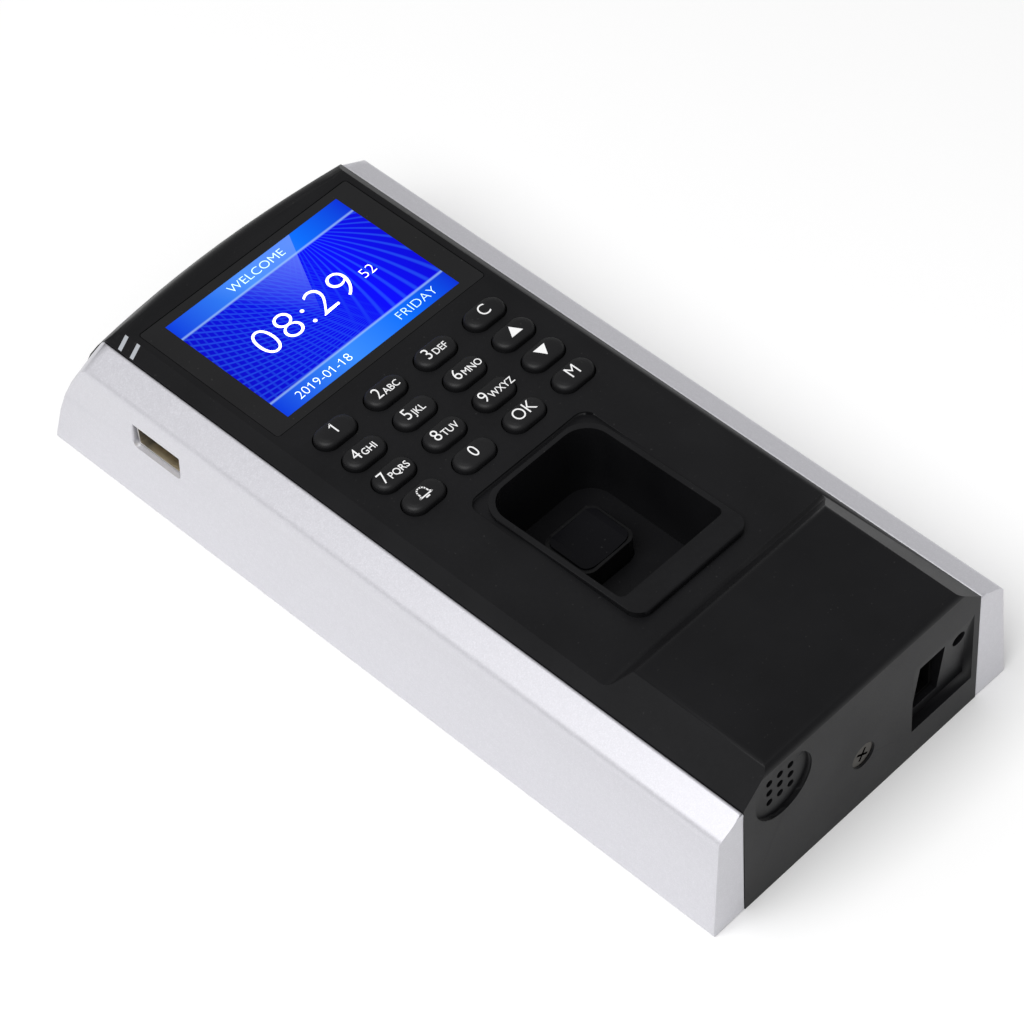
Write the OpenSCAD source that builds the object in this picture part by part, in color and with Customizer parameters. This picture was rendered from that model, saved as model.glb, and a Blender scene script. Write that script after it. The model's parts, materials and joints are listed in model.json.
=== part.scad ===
// Fingerprint scanner terminal: a black front shell between two silver side rails, with a colour
// display, a sixteen-key pad and a finger well. It lies on its back: +Z leaves the front face and
// +Y runs towards the display end. Lengths along Y are measured from the lower end.

/* [Body] */
// Length of the side rails
rail_l = 190; // [186:1:230]
// Width of the black body between the rails
body_w = 67.8; // [66:0.2:90]
// Width of one rail at the back
rail_base_w = 8.9; // [8:0.1:14]
// Width of one rail at its outer top edge
rail_crown_w = 6.9; // [6:0.1:8]
// Height of the flat front panel
panel_h = 34.5; // [33.5:0.5:44]
// Drop from the panel to the rails' inner edge, over the sloped shoulder
shoulder_drop = 2.5; // [1.5:0.1:4]
// Sideways run of the shoulder for each millimetre it drops
shoulder_run = 1.06; // [0.8:0.02:1.2]
// Drop across the top of a rail
rail_slope_drop = 3.5; // [1:0.1:5]
// Wall of the black shell
wall = 2.2; // [1.8:0.1:2.6]
// Wall of the rails
rail_wall = 1.8; // [1.2:0.1:2.4]
// How far the middle of the display end bows past the rails
end_bow = 2.2; // [1:0.1:4]
// Radius of the curved display end, seen from the side
end_r = 50; // [46:1:70]
// Radius where the display end turns into the top
end_fillet = 5; // [3:0.5:7]

/* [Chin] */
// Length of the raised chin
chin_l = 33.5; // [31:0.5:36]
// Height of the chin above the panel
chin_rise = 4.3; // [2:0.1:6]
// Length of the slope from the chin down to the panel
riser_run = 3.7; // [2:0.1:4]

/* [Display] */
// Width of the lit picture
screen_w = 48.96; // [44:0.01:50]
// Height of the lit picture
screen_l = 36.72; // [33:0.01:38]
// Distance of the picture's centre from the rails' display end
screen_from_end = 40; // [39:0.5:42]
// Width of the display window
window_w = 59.2; // [56:0.1:60]
// Length of the display window
window_l = 41.7; // [40:0.1:42]
// Thickness of the display window
window_t = 1.5; // [1:0.1:1.6]

/* [Keypad] */
// Spacing of the keys across the body
key_pitch_x = 14.2; // [13.4:0.1:14.4]
// Spacing of the keys along the body
key_pitch_y = 8.4; // [8.2:0.1:8.6]
// Width of a key
key_w = 10; // [9:0.1:11.2]
// Depth of a key along the body
key_d = 5.8; // [5:0.1:6.6]
// Height of a key above the panel
key_proud = 1.7; // [1.2:0.1:2.5]
// Height of the slight crown on top of a key
key_crown = 0.3; // [0:0.05:0.4]
// Travel of a key when it is pressed
key_travel = 0.8; // [0.4:0.1:0.8]
// Distance from the picture's centre to the first row of keys
keys_below_screen = 28.8; // [28.6:0.1:30]

/* [Scanner] */
// Width of the finger well's opening
well_w = 29.2; // [24:0.1:31]
// Length of the finger well's opening
well_l = 37.6; // [34:0.1:38]
// Depth of the finger well below the panel
well_depth = 18.3; // [14:0.1:19]
// Distance from the last row of keys to the well's opening
well_below_keys = 9.7; // [9.5:0.1:12]
// Width of the rim at the sides of the well
rim_w = 1.3; // [1:0.1:2]
// Width of the rim's broad band on the chin side
rim_band = 5.9; // [4:0.1:6]
// Height of the rim on the chin side
rim_high = 1.6; // [1:0.1:2.5]
// Height of the rim on the keypad side
rim_low = 0.2; // [0:0.1:1]
// Depth of the pocket round the rim at the keypad side
dip = 1; // [0.5:0.1:1.2]
// Width of the finger sensor's block
sensor_w = 15; // [12:0.5:18]
// Length of the finger sensor's block
sensor_l = 13.2; // [12:0.1:15]
// Height of the sensor's glass above the well's floor
sensor_rise = 5.8; // [3:0.1:8]

/* [Ports and fixings] */
// Distance of the data port's centre from the rails' display end
usb_from_end = 34.7; // [33:0.1:38]
// Height of the data port's centre
usb_h = 20; // [19:0.1:21]
// Slot in the rail for the data port: length, height
usb_slot = [14.4, 6.4];
// Radius of the recess around the speaker's holes
grille_r = 7.8; // [6.5:0.1:8]
// Distance of the speaker's centre from the middle
grille_x = 22.8; // [21:0.1:23]
// Depth of the speaker's centre below the chin's top
grille_drop = 10.2; // [10:0.1:12]
// Spacing of the speaker's holes
grille_pitch = 2.95; // [2.2:0.05:3.4]
// Radius of one speaker hole
grille_hole_r = 0.85; // [0.5:0.05:1]
// Height of the lock screw in the lower end
lock_h = 15; // [12:0.5:16]
// Radius of the lock screw's head
lock_head_r = 3; // [2.5:0.1:3.5]
// Spacing of the wall plate's screw holes: across, along
plate_holes = [28, 110];
// Radius of the wall plate's screw holes
plate_hole_r = 2.1; // [1.6:0.1:2.6]

/* [Hidden] */
$fn = 64;
// clearances: a fixed fit, a moving key in its hole, and a cut that runs past a face
fit = 0.15;
key_gap = 0.3;
past = 1;

total_l = rail_l + end_bow;
half_w = body_w / 2;
rail_in_h = panel_h - shoulder_drop;
rail_out_h = rail_in_h - rail_slope_drop;
chin_h = panel_h + chin_rise;
arc_centre_h = panel_h - 36;
bow_r = (pow(half_w, 2) + pow(end_bow, 2)) / (2 * end_bow);

// heights of the layers under the panel
ceiling_h = panel_h - wall;
gasket_t = 0.5;
lcd_top = ceiling_h - gasket_t;
lcd_t = 2.4;
lcd_size = [60.3, 42.7];
lcd_rim = 0.9;
lcd_floor_t = 1;
carrier_t = 1.6;
carrier_top = lcd_top - lcd_t;
flange_t = 0.5;
flange_top = ceiling_h - 0.2;
flange_rim = 0.6;
stem_in = 1.6;
stem_rest_gap = key_travel + 0.1;
keyboard_top = flange_top - flange_t - key_travel - 2.2;
keyboard_t = 1.2;
mat_t = 1;
board_t = 1.6;

// the back
cover_t = 4.4;
recess_d = 2.2;
plate_t = 1.5;
plate_w = 41;
plate_y = [11, rail_l - 21];
tab_w = 12;
tab_y = 6.5;
tab_h = lock_h + 4;
wire_window = [24, 30];

// the display and the keypad along Y
screen_y = rail_l - screen_from_end;
row_y = screen_y - keys_below_screen;
wire_y = row_y - 11.2;
last_row_y = row_y - 3 * key_pitch_y;
keys_mid_y = (row_y + last_row_y) / 2;
well_top_y = last_row_y - well_below_keys;
well_low_y = well_top_y - well_l;
rim_top_y = well_top_y + rim_w;
rim_low_y = well_low_y - rim_band;
well_floor_h = panel_h - well_depth;
tub_wall = 0.9;
tub_floor_t = 1.2;
sensor_mid_y = well_top_y - 7.6 - sensor_l / 2;
dip_from_y = rim_top_y - 16;
dip_to_y = rim_top_y + 1.1;
dip_w = well_w + 2 * rim_w + 2.2;
tub_r = 6.5;
sensor_top = well_floor_h + sensor_rise;
glass_t = 1.4;
sensor_foot_h = well_floor_h - tub_floor_t;
sensor_pcb_h = cover_t + 2;

// the data port
usb_y = rail_l - usb_from_end;
usb_size = [14, 13.2, 5.8];
usb_skin = 0.4;
usb_x = -(half_w + rail_crown_w - 0.3);
board_top = usb_h - usb_size[2] / 2;
board_under = board_top - board_t;
board_y = [row_y - 31, rail_l - 16.5];
board_half_w = half_w - wall - fit;

// the lower end
grille_h = chin_h - grille_drop;
grille_depth = 1;
speaker_r = 6;
speaker_t = 4.2;
service_x = [14.3, 32.2];
service_h = [8, 28];
service_depth = 2.3;
socket_x = [16.4, 23.8];
socket_h = [11.6, 26];
pinhole = [28.2, 23.8];
pinhole_r = 1.8;
port_wall = 5;
port_board_y = 13.4;
port_board_t = 1.6;
reset_r = 1.3;
reset_travel = 0.35;

// fasteners
case_screws_at = [[26, 24], [27, well_top_y + 0.2], [24.5, rail_l - 13.5]];
board_screws_at = [[27, board_y[0] + 6], [27, board_y[1] - 5]];
keypad_screws_at = [[29.3, keys_mid_y - 8], [29.3, keys_mid_y + 8]];
carrier_screw_at = [12, rail_l - 16];
boss_r = 3;
screw_r = 1.1;
case_screw_r = 1.3;
tamper_at = [14, screen_y - 10];
tamper_r = 1.2;

// ---- outlines ----------------------------------------------------------------------------------

function unit(v) = v / norm(v);

// the points that round the corner b between a and c
function corner(a, b, c, r, steps) =
    r == 0 ? [b] :
    let (u = unit(a - b), v = unit(c - b), half = acos(u * v) / 2,
         mid = b + unit(u + v) * r / sin(half),
         p = b + u * r / tan(half), q = b + v * r / tan(half),
         from = atan2(p[1] - mid[1], p[0] - mid[0]),
         to = atan2(q[1] - mid[1], q[0] - mid[0]),
         turn = (to - from + 540) % 360 - 180)
    [for (i = [0:steps]) mid + r * [cos(from + turn * i / steps), sin(from + turn * i / steps)]];

// an outline with each corner rounded by its own radius
function rounded(pts, radii, steps = 5) =
    [for (i = [0:len(pts) - 1])
        each corner(pts[(i + len(pts) - 1) % len(pts)], pts[i], pts[(i + 1) % len(pts)],
                    radii[i], steps)];

function box_pts(w, l) = [[-w / 2, -l / 2], [w / 2, -l / 2], [w / 2, l / 2], [-w / 2, l / 2]];

// the side view of the display end, from the back up to where the top becomes flat
function end_curve(end_y, top, inset, low = 0) =
    let (r = end_r - inset, f = max(end_fillet - inset, 1),
         cy = end_y - end_r, fz = top - inset - f,
         fy = cy + sqrt(pow(r - f, 2) - pow(fz - arc_centre_h, 2)),
         a0 = asin((low - arc_centre_h) / r), a1 = atan2(fz - arc_centre_h, fy - cy))
    concat([for (i = [0:6]) let (a = a0 + (a1 - a0) * i / 6)
                [cy + r * cos(a), arc_centre_h + r * sin(a)]],
           [for (i = [1:5]) let (a = a1 + (90 - a1) * i / 5) [fy + f * cos(a), fz + f * sin(a)]]);

// ---- shared helpers ----------------------------------------------------------------------------

// puts the lower end of the body at its place on the Y axis
module placed() {
    translate([0, -total_l / 2, 0]) children();
}

// a plate with rounded corners, centred on at, from height z up
module plate(at, size, r, z, t) {
    translate([at[0], at[1], z])
        linear_extrude(t) polygon(rounded(box_pts(size[0], size[1]), [r, r, r, r]));
}

// a plain block between two corners
module block(low, high) {
    translate(low) cube(high - low);
}

// extrudes an outline drawn in (x, z) along Y
module along_y(from, to) {
    translate([0, to, 0]) rotate([90, 0, 0]) linear_extrude(to - from) children();
}

// extrudes an outline drawn in (y, z) along X
module along_x(from, to) {
    translate([from, 0, 0]) rotate([90, 0, 90]) linear_extrude(to - from) children();
}

module both_sides() {
    children();
    mirror([1, 0, 0]) children();
}

module post(at, r, low, high) {
    translate([at[0], at[1], low]) cylinder(r = r, h = high - low);
}

// the black body's form, drawn in by inset on every side but the back
module body_form(inset, low, high) {
    slope = norm([1, shoulder_run]);
    side = half_w - inset;
    reach = half_w - inset * slope;
    turn_h = rail_in_h + (reach - side) / shoulder_run;
    top = chin_h - inset;
    top_x = reach - shoulder_run * (top - rail_in_h);
    foot = -inset * 0.6;
    cap = end_curve(total_l, panel_h, inset, max(low, 0));
    axis_y = total_l - bow_r;
    middle_y = chin_l + riser_run + 20;
    intersection() {
        along_y(-past, total_l + past)
            polygon(rounded([[-side, low], [side, low], [side, turn_h], [top_x, top],
                             [-top_x, top], [-side, turn_h]], [0, 0, 0, 1.8, 1.8, 0]));
        along_x(-half_w - past, half_w + past)
            polygon(rounded([[inset, low], [total_l + past, low], [total_l + past, panel_h - inset],
                             [chin_l + riser_run + foot, panel_h - inset],
                             [chin_l + foot, top], [inset, top]], [0, 0, 0, 3, 2, 2]));
        translate([0, axis_y, 0])
            rotate_extrude($fn = 360)
                polygon(concat([[0, low], [cap[0][0] - axis_y, low]],
                               [for (p = cap) [p[0] - axis_y, p[1]]],
                               [[middle_y - axis_y, panel_h - inset],
                                [middle_y - axis_y, chin_h + past], [0, chin_h + past]]));
        block([-half_w - past, -past, low], [half_w + past, total_l + past, high]);
    }
}

// ---- shell -------------------------------------------------------------------------------------

// a stadium, long across the body
module key_outline(grow) {
    r = key_d / 2 + grow;
    run = (key_w - key_d) / 2;
    translate([-run, -r]) square([2 * run, 2 * r]);
    for (side = [-1, 1]) translate([side * run, 0]) circle(r);
}

module at_keys() {
    for (col = [0:3], row = [0:3])
        translate([(col - 1.5) * key_pitch_x, row_y - row * key_pitch_y, 0]) children();
}

// the two short slots for the status lights on the left shoulder
module light_slots(grow) {
    for (y = [screen_y + 22.6, screen_y + 19])
        translate([-half_w + shoulder_drop * shoulder_run / 2, y, panel_h - shoulder_drop / 2])
            rotate([0, -atan(1 / shoulder_run), 0])
                translate([-1.65 - grow, -0.5 - grow, -2.3 - past * grow])
                    cube([3.4 + 2 * grow, 1 + 2 * grow, 2.3 + past * grow + (grow > 0 ? past : 0)]);
}

module speaker_cuts() {
    translate([-grille_x, 0, grille_h]) rotate([90, 0, 0]) {
        translate([0, 0, -grille_depth]) cylinder(r = grille_r, h = grille_depth + past);
        for (i = [-1:1], j = [-1:1])
            translate([i * grille_pitch, j * grille_pitch, -wall - past])
                cylinder(r = grille_hole_r, h = wall + 2 * past, $fn = 24);
    }
}

// a pocket that is deep towards the back and runs out to nothing at its top
module service_pocket() {
    along_x(service_x[0], service_x[1])
        polygon([[-past, service_h[0]], [service_depth, service_h[0]], [0, service_h[1]],
                 [-past, service_h[1]]]);
}

module service_cuts() {
    service_pocket();
    block([socket_x[0], -past, socket_h[0]], [socket_x[1], port_wall + past, socket_h[1]]);
    translate([pinhole[0], port_wall + past, pinhole[1]]) rotate([90, 0, 0])
        cylinder(r = pinhole_r, h = port_wall + 2 * past);
}

// the height at which the pocket's floor meets the rim's keypad side
function dip_h(y) = panel_h - dip * (y - dip_from_y) / (dip_to_y - dip_from_y);

// a shallow pocket that starts level with the panel beside the well and deepens to the keypad side
module rim_pocket() intersection() {
    plate([0, (dip_from_y + dip_to_y) / 2 - 3], [dip_w, dip_to_y - dip_from_y + 6], 3,
          panel_h - dip - past, dip + 2 * past);
    along_x(-dip_w, dip_w)
        polygon([[dip_from_y, panel_h], [dip_to_y + past, dip_h(dip_to_y + past)],
                 [dip_to_y + past, panel_h + past], [dip_from_y, panel_h + past]]);
}

module front_housing() color("dimgray") placed() difference() {
    union() {
        difference() {
            body_form(0, 0, chin_h + past);
            body_form(wall, -past, chin_h);
        }
        intersection() {
            body_form(wall / 2, cover_t, chin_h);
            union() {
                both_sides() for (p = case_screws_at) post(p, boss_r, cover_t, chin_h);
                both_sides() for (p = keypad_screws_at) post(p, 1.6, keyboard_top, ceiling_h + past);
                both_sides() post(carrier_screw_at, 1.8, carrier_top, ceiling_h + past);
                block([service_x[0] - 2.4, wall / 2, cover_t + fit], [half_w, port_wall, chin_h]);
                block([service_x[0] - 2.4, wall / 2, cover_t + fit],
                      [service_x[0] - 1.3, port_board_y + port_board_t, chin_h]);
            }
        }
    }
    plate([0, screen_y], [window_w + 2 * fit, window_l + 2 * fit], 0.9,
          panel_h - window_t, past + window_t);
    plate([0, screen_y], [screen_w + 3, screen_l + 2], 1, ceiling_h - past, wall + past);
    at_keys() translate([0, 0, ceiling_h - past]) linear_extrude(wall + 2 * past) key_outline(key_gap);
    plate([0, (rim_top_y + rim_low_y) / 2],
          [well_w + 2 * tub_wall + 2 * fit, rim_top_y - rim_low_y - 0.8 + 2 * fit], tub_r + fit,
          ceiling_h - past, wall + 2 * past);
    rim_pocket();
    light_slots(0.02);
    speaker_cuts();
    service_cuts();
    translate([0, 0, lock_h]) rotate([-90, 0, 0]) {
        translate([0, 0, -past]) cylinder(r = lock_head_r + 0.2, h = past + 0.2);
        translate([0, 0, 0.2 - 0.001]) cylinder(r1 = lock_head_r + 0.2, r2 = 1.7, h = 1.5);
        cylinder(r = 1.7, h = wall + past);
    }
    block([-half_w - past, usb_y - usb_size[1] / 2 - fit, usb_h - usb_size[2] / 2 - fit],
          [-half_w + wall + past, usb_y + usb_size[1] / 2 + fit, usb_h + usb_size[2] / 2 + fit]);
    both_sides() for (p = case_screws_at) post(p, case_screw_r, cover_t - past, cover_t + 9);
    both_sides() for (p = keypad_screws_at) post(p, 0.8, keyboard_top - past, ceiling_h);
    both_sides() post(carrier_screw_at, 0.8, carrier_top - past, ceiling_h);
}

module rear_cover() color("black") placed() difference() {
    union() {
        body_form(wall + fit, 0, cover_t);
        both_sides() for (p = board_screws_at) post(p, 2.6, cover_t / 2, board_under);
    }
    plate([0, (plate_y[0] + plate_y[1]) / 2], [plate_w + 4 * fit, plate_y[1] - plate_y[0] + 4 * fit],
          3, -past, recess_d + past);
    block([-tab_w / 2 - fit, tab_y - 2 * fit, -past], [tab_w / 2 + fit, plate_y[0] + past, recess_d]);
    block([-tab_w / 2 - fit, tab_y - 2 * fit, 0],
          [tab_w / 2 + fit, tab_y + plate_t + 2 * fit, cover_t + past]);
    plate([0, wire_y], wire_window, 2, 0, cover_t + past);
    both_sides() for (p = case_screws_at) {
        post(p, case_screw_r + 0.1, -past, cover_t + past);
        post(p, 2.8, -past, 2);
    }
    both_sides() for (p = board_screws_at) post(p, 0.8, board_under - 7, board_under + past);
    post(tamper_at, tamper_r + 0.3, 0, cover_t + past);
}

// the solid form of the right rail
module rail_form() {
    out = half_w + rail_base_w;
    crown = half_w + rail_crown_w;
    tilt = atan(rail_slope_drop / rail_crown_w);
    facet_top = rail_in_h * cos(tilt) + half_w * sin(tilt);
    intersection() {
        along_y(0, rail_l + past)
            polygon(rounded([[half_w, 0], [out, 0], [crown, rail_out_h], [half_w, rail_in_h]],
                            [0, 0.8, 2.4, 0.6]));
        along_x(half_w - past, out + past)
            polygon(rounded(concat([[0, -past]], [[rail_l, -past]],
                                   end_curve(rail_l, rail_in_h, 0), [[0, rail_in_h]]),
                            concat([0, 0], [for (p = end_curve(rail_l, rail_in_h, 0)) 0], [1.6])));
        rotate([0, tilt, 0])
            translate([0, 0, facet_top - rail_in_h])
                along_x(-half_w, 3 * half_w)
                    polygon(concat([[-past, -50], [rail_l, -50]], end_curve(rail_l, rail_in_h, 0),
                                   [[-past, rail_in_h]]));
    }
}

module rail() difference() {
    rail_form();
    along_y(rail_wall + 0.6, rail_l - 19)
        polygon([[half_w - past, 2.4], [half_w + rail_base_w - rail_wall - 0.3, 2.4],
                 [half_w + rail_crown_w - rail_wall - 0.2, rail_out_h - rail_wall],
                 [half_w - past, rail_in_h - rail_wall - 0.6]]);
}

module right_rail() color("silver") placed() rail();

module left_rail() color("silver") placed() difference() {
    mirror([1, 0, 0]) rail();
    translate([-half_w - 1.5 * rail_base_w, usb_y, usb_h]) rotate([90, 0, 90])
        linear_extrude(rail_base_w)
            polygon(rounded(box_pts(usb_slot[0], usb_slot[1]), [1.2, 1.2, 0.3, 0.3]));
}

// ---- display -----------------------------------------------------------------------------------

module display_window() color("black") placed()
    plate([0, screen_y], [window_w, window_l], 0.8, panel_h - window_t + 0.01, window_t - 0.06);

module display_gasket() color("gray") placed() difference() {
    plate([0, screen_y], lcd_size, 0.5, lcd_top, gasket_t);
    plate([0, screen_y], [screen_w + 4, screen_l + 2.4], 0.5, lcd_top - past, gasket_t + 2 * past);
}

module lcd_frame() color("lightgray") placed() difference() {
    plate([0, screen_y], lcd_size, 0.5, lcd_top - lcd_t, lcd_t);
    plate([0, screen_y], lcd_size - 2 * [lcd_rim, lcd_rim], 0.3, lcd_top - lcd_t + lcd_floor_t, lcd_t);
}

module lcd_panel() color("blue") placed()
    plate([0, screen_y], lcd_size - 2 * [lcd_rim + fit, lcd_rim + fit], 0.3,
          lcd_top - lcd_t + lcd_floor_t, lcd_t - lcd_floor_t - 0.1);

module lcd_carrier() color("dimgray") placed() difference() {
    union() {
        plate([0, screen_y], [lcd_size[0] + 1.8, lcd_size[1]], 1, carrier_top - carrier_t, carrier_t);
        block([-16, screen_y, carrier_top - carrier_t], [16, carrier_screw_at[1] + 2.6, carrier_top]);
    }
    both_sides() post(carrier_screw_at, 0.9, 0, carrier_top + past);
    plate([0, screen_y - 2], [34, 20], 2, 0, carrier_top + past);
    block([-7, screen_y + 9.5, 0], [7, screen_y + 15, carrier_top + past]);
}

// a flat strip that follows a path drawn in (y, z)
module ribbon(path, thickness, width, x) {
    last = len(path) - 1;
    for (i = [0:last - 1]) {
        step = unit(path[i + 1] - path[i]);
        side = [-step[1], step[0]] * thickness / 2;
        along_x(x - width / 2, x + width / 2)
            polygon([path[i] - side, path[i + 1] - side, path[i + 1] + side, path[i] + side]);
    }
    for (i = [1:last - 1])
        along_x(x - width / 2, x + width / 2) translate(path[i]) circle(d = thickness, $fn = 24);
}

module lcd_ribbon() color("peru") placed()
    ribbon([[screen_y + 10, board_top + 0.15], [screen_y + 13.5, board_top + 0.15],
            [screen_y + 13.5, carrier_top - 0.15], [screen_y + 10, carrier_top - 0.15]], 0.3, 12, 0);

// ---- keypad ------------------------------------------------------------------------------------

module keypad_mat() color("darkslategray") placed() difference() {
    plate([0, keys_mid_y], [55.4, 3 * key_pitch_y + key_d + 3.6], 1.5, keyboard_top, mat_t);
    at_keys() translate([0, 0, keyboard_top - past])
        linear_extrude(mat_t + 2 * past) key_outline(0.5 - stem_in);
}

module keypad_board() color("darkgreen") placed() difference() {
    plate([0, keys_mid_y], [62.4, 3 * key_pitch_y + key_d + 4.4], 1, keyboard_top - keyboard_t, keyboard_t);
    both_sides() for (p = keypad_screws_at) post(p, 0.9, 0, panel_h);
}

module keypad_ribbon() color("peru") placed()
    ribbon([[keys_mid_y - 8, board_top + 0.15], [keys_mid_y - 4, board_top + 0.15],
            [keys_mid_y - 4, keyboard_top - keyboard_t - 0.15],
            [keys_mid_y - 8, keyboard_top - keyboard_t - 0.15]], 0.3, 10, -8);

// the side view of half a key above its flange: a soft edge under a slightly crowned top
function key_profile() =
    let (r = key_d / 2, low = flange_top - flange_t, top = panel_h + key_proud, soft = 1.1,
         shoulder = top - key_crown, slope = 2 * key_crown / r)
    concat([[0, low], [r, low]],
           corner([r, low], [r, shoulder], [r - 2 * soft, shoulder + slope * soft], soft, 6),
           [for (i = [1:5]) let (x = (r - soft) * (1 - i / 5)) [x, top - key_crown * pow(x / r, 2)]]);

module key(col, row) color("black") placed()
    translate([(col - 1.5) * key_pitch_x, row_y - row * key_pitch_y, 0]) {
        run = (key_w - key_d) / 2;
        for (side = [-1, 1]) translate([side * run, 0, 0]) rotate_extrude() polygon(key_profile());
        along_x(-run, run) {
            polygon(key_profile());
            mirror([1, 0]) polygon(key_profile());
        }
        translate([0, 0, flange_top - flange_t]) linear_extrude(flange_t) key_outline(flange_rim);
        translate([0, 0, keyboard_top + stem_rest_gap])
            linear_extrude(flange_top - keyboard_top - stem_rest_gap) key_outline(-stem_in);
    }

// ---- main board --------------------------------------------------------------------------------

module main_board() color("green") placed() difference() {
    block([-board_half_w, board_y[0], board_under], [board_half_w, board_y[1], board_top]);
    both_sides() for (p = board_screws_at) post(p, 0.9, 0, panel_h);
}

module processor_chip() color("black") placed()
    block([-13, screen_y - 22, board_top], [1, screen_y - 8, board_top + 1.4]);

module board_chips() color("black") placed() {
    block([-24, screen_y - 19, board_top], [-17, screen_y - 11, board_top + 1]);
    block([-26, row_y - 20, board_top], [-18, row_y - 14, board_top + 1.6]);
    block([5, screen_y - 20, board_top], [9, screen_y - 15, board_top + 1.2]);
}

module door_relay() color("royalblue") placed()
    plate([16.5, row_y - 19], [15, 10], 0.5, board_top, 6.5);

module coin_cell_holder() color("black") placed() difference() {
    post([16, screen_y - 4], 7.6, board_top, board_top + 2.4);
    post([16, screen_y - 4], 6.4, board_top + 0.8, board_top + 4);
}

module coin_cell() color("silver") placed()
    post([16, screen_y - 4], 6.25, board_top + 0.8, board_top + 2.8);

module usb_shell() color("silver") placed() translate([usb_x, usb_y, usb_h]) difference() {
    translate([0, -usb_size[1] / 2, -usb_size[2] / 2]) cube(usb_size);
    translate([-past, -usb_size[1] / 2 + usb_skin, -usb_size[2] / 2 + usb_skin])
        cube([usb_size[0] - usb_skin + past, usb_size[1] - 2 * usb_skin, usb_size[2] - 2 * usb_skin]);
}

module usb_tongue() color("beige") placed() translate([usb_x, usb_y, usb_h]) {
    block([usb_size[0] - 2.4, -6, -2.4], [usb_size[0] - usb_skin, 6, 2.4]);
    block([1.4, -5.6, -0.1], [usb_size[0] - usb_skin, 5.6, 1.8]);
}

module usb_contacts() color("gold") placed() translate([usb_x, usb_y, usb_h])
    for (y = [-3.5, -1.1, 1.1, 3.5])
        block([2.2, y - 0.5, -0.3], [usb_size[0] - 2.4, y + 0.5, -0.1]);

module wiring_headers() color("ivory") placed() for (y = [wire_y - 8, wire_y, wire_y + 8]) difference() {
    block([-10, y - 2.9, board_under - 7], [10, y + 2.9, board_under]);
    block([-9, y - 2.1, board_under - 7 - past], [9, y + 2.1, board_under - 1.6]);
}

module tamper_switch() color("black") placed() difference() {
    plate(tamper_at, [6, 6], 0.4, board_under - 3.6, 3.6);
    post(tamper_at, tamper_r + 0.25, board_under - 3.6 - past, board_under - 0.6);
}

module tamper_plunger() color("red") placed()
    post(tamper_at, tamper_r, plate_t + 0.05, board_under - 2);

// ---- speaker and lower-end ports ---------------------------------------------------------------

module speaker_frame() color("gray") placed() translate([-grille_x, wall, grille_h]) rotate([-90, 0, 0])
    difference() {
        cylinder(r = speaker_r, h = speaker_t);
        translate([0, 0, -past]) cylinder(r = speaker_r - 1, h = 1.4 + past);
    }

module speaker_cone() color("black") placed() translate([-grille_x, wall, grille_h]) rotate([-90, 0, 0]) {
    translate([0, 0, 0.9]) cylinder(r = speaker_r - 1, h = 0.5);
    translate([0, 0, 0.5]) cylinder(r1 = 1.8, r2 = 2.4, h = 0.5);
}

module port_board() color("green") placed()
    block([service_x[0] - 1.3, port_board_y, cover_t + 2], [half_w - wall, port_board_y + port_board_t, 30]);

module power_socket() color("black") placed() difference() {
    block([socket_x[0] + fit, 3.2, socket_h[0] + fit], [socket_x[1] - fit, port_board_y, socket_h[1] - fit]);
    block([socket_x[0] + 1, 3.2 - past, socket_h[0] + 1],
          [socket_x[1] - 1, port_board_y - 1.6, socket_h[1] - 1]);
}

module connector_pins() color("gold") placed() {
    for (i = [0:3]) {
        z = (socket_h[0] + socket_h[1]) / 2 + (i - 1.5) * 2.5;
        x = (socket_x[0] + socket_x[1]) / 2;
        block([x - 0.32, 5, z - 0.32], [x + 0.32, port_board_y - 1.6, z + 0.32]);
    }
    for (y = [wire_y - 8, wire_y, wire_y + 8], i = [0:5])
        translate([(i - 2.5) * 2.5, y, board_under])
            block([-0.32, -0.32, -6], [0.32, 0.32, -1.6]);
}

module reset_switch() color("black") placed() difference() {
    block([pinhole[0] - 2.9, 9.9, pinhole[1] - 3], [pinhole[0] + 2.9, port_board_y, pinhole[1] + 3]);
    translate([pinhole[0], 9.9 - past, pinhole[1]]) rotate([-90, 0, 0])
        cylinder(r = reset_r + 0.2, h = past + 1.5);
}

module reset_button() color("white") placed()
    translate([pinhole[0], 5.8, pinhole[1]]) rotate([-90, 0, 0])
        cylinder(r = reset_r, h = 5.5 - reset_travel);

// ---- finger scanner ----------------------------------------------------------------------------

module scanner_bezel() color("black") placed() {
    mid_y = (rim_top_y + rim_low_y) / 2;
    length = rim_top_y - rim_low_y;
    outer = [well_w + 2 * rim_w, length];
    tub = [well_w + 2 * tub_wall, length - 0.8];
    difference() {
        union() {
            intersection() {
                translate([0, mid_y, panel_h - dip - past]) linear_extrude(rim_high + dip + 2 * past)
                    polygon(rounded(box_pts(outer[0], outer[1]), [3.5, 3.5, 7, 7], 8));
                along_x(-outer[0], outer[0])
                    polygon(rounded([[rim_low_y, panel_h], [dip_from_y, panel_h],
                                     [rim_top_y, dip_h(rim_top_y)], [rim_top_y, panel_h + rim_low],
                                     [rim_low_y, panel_h + rim_high]], [0, 0, 0, 0.3, 0.7]));
            }
            plate([0, mid_y], tub, tub_r, well_floor_h - tub_floor_t, well_depth + tub_floor_t);
        }
        translate([0, (well_top_y + well_low_y) / 2, well_floor_h])
            linear_extrude(well_depth + rim_high + past)
                polygon(rounded(box_pts(well_w, well_l), [1.5, 1.5, 6, 6], 8));
        plate([0, sensor_mid_y], [sensor_w + 2 * fit, sensor_l + 2 * fit], 3, 0, panel_h);
        both_sides() post([10.4, sensor_mid_y], 0.8, 0, well_floor_h - 0.3);
    }
}

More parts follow.
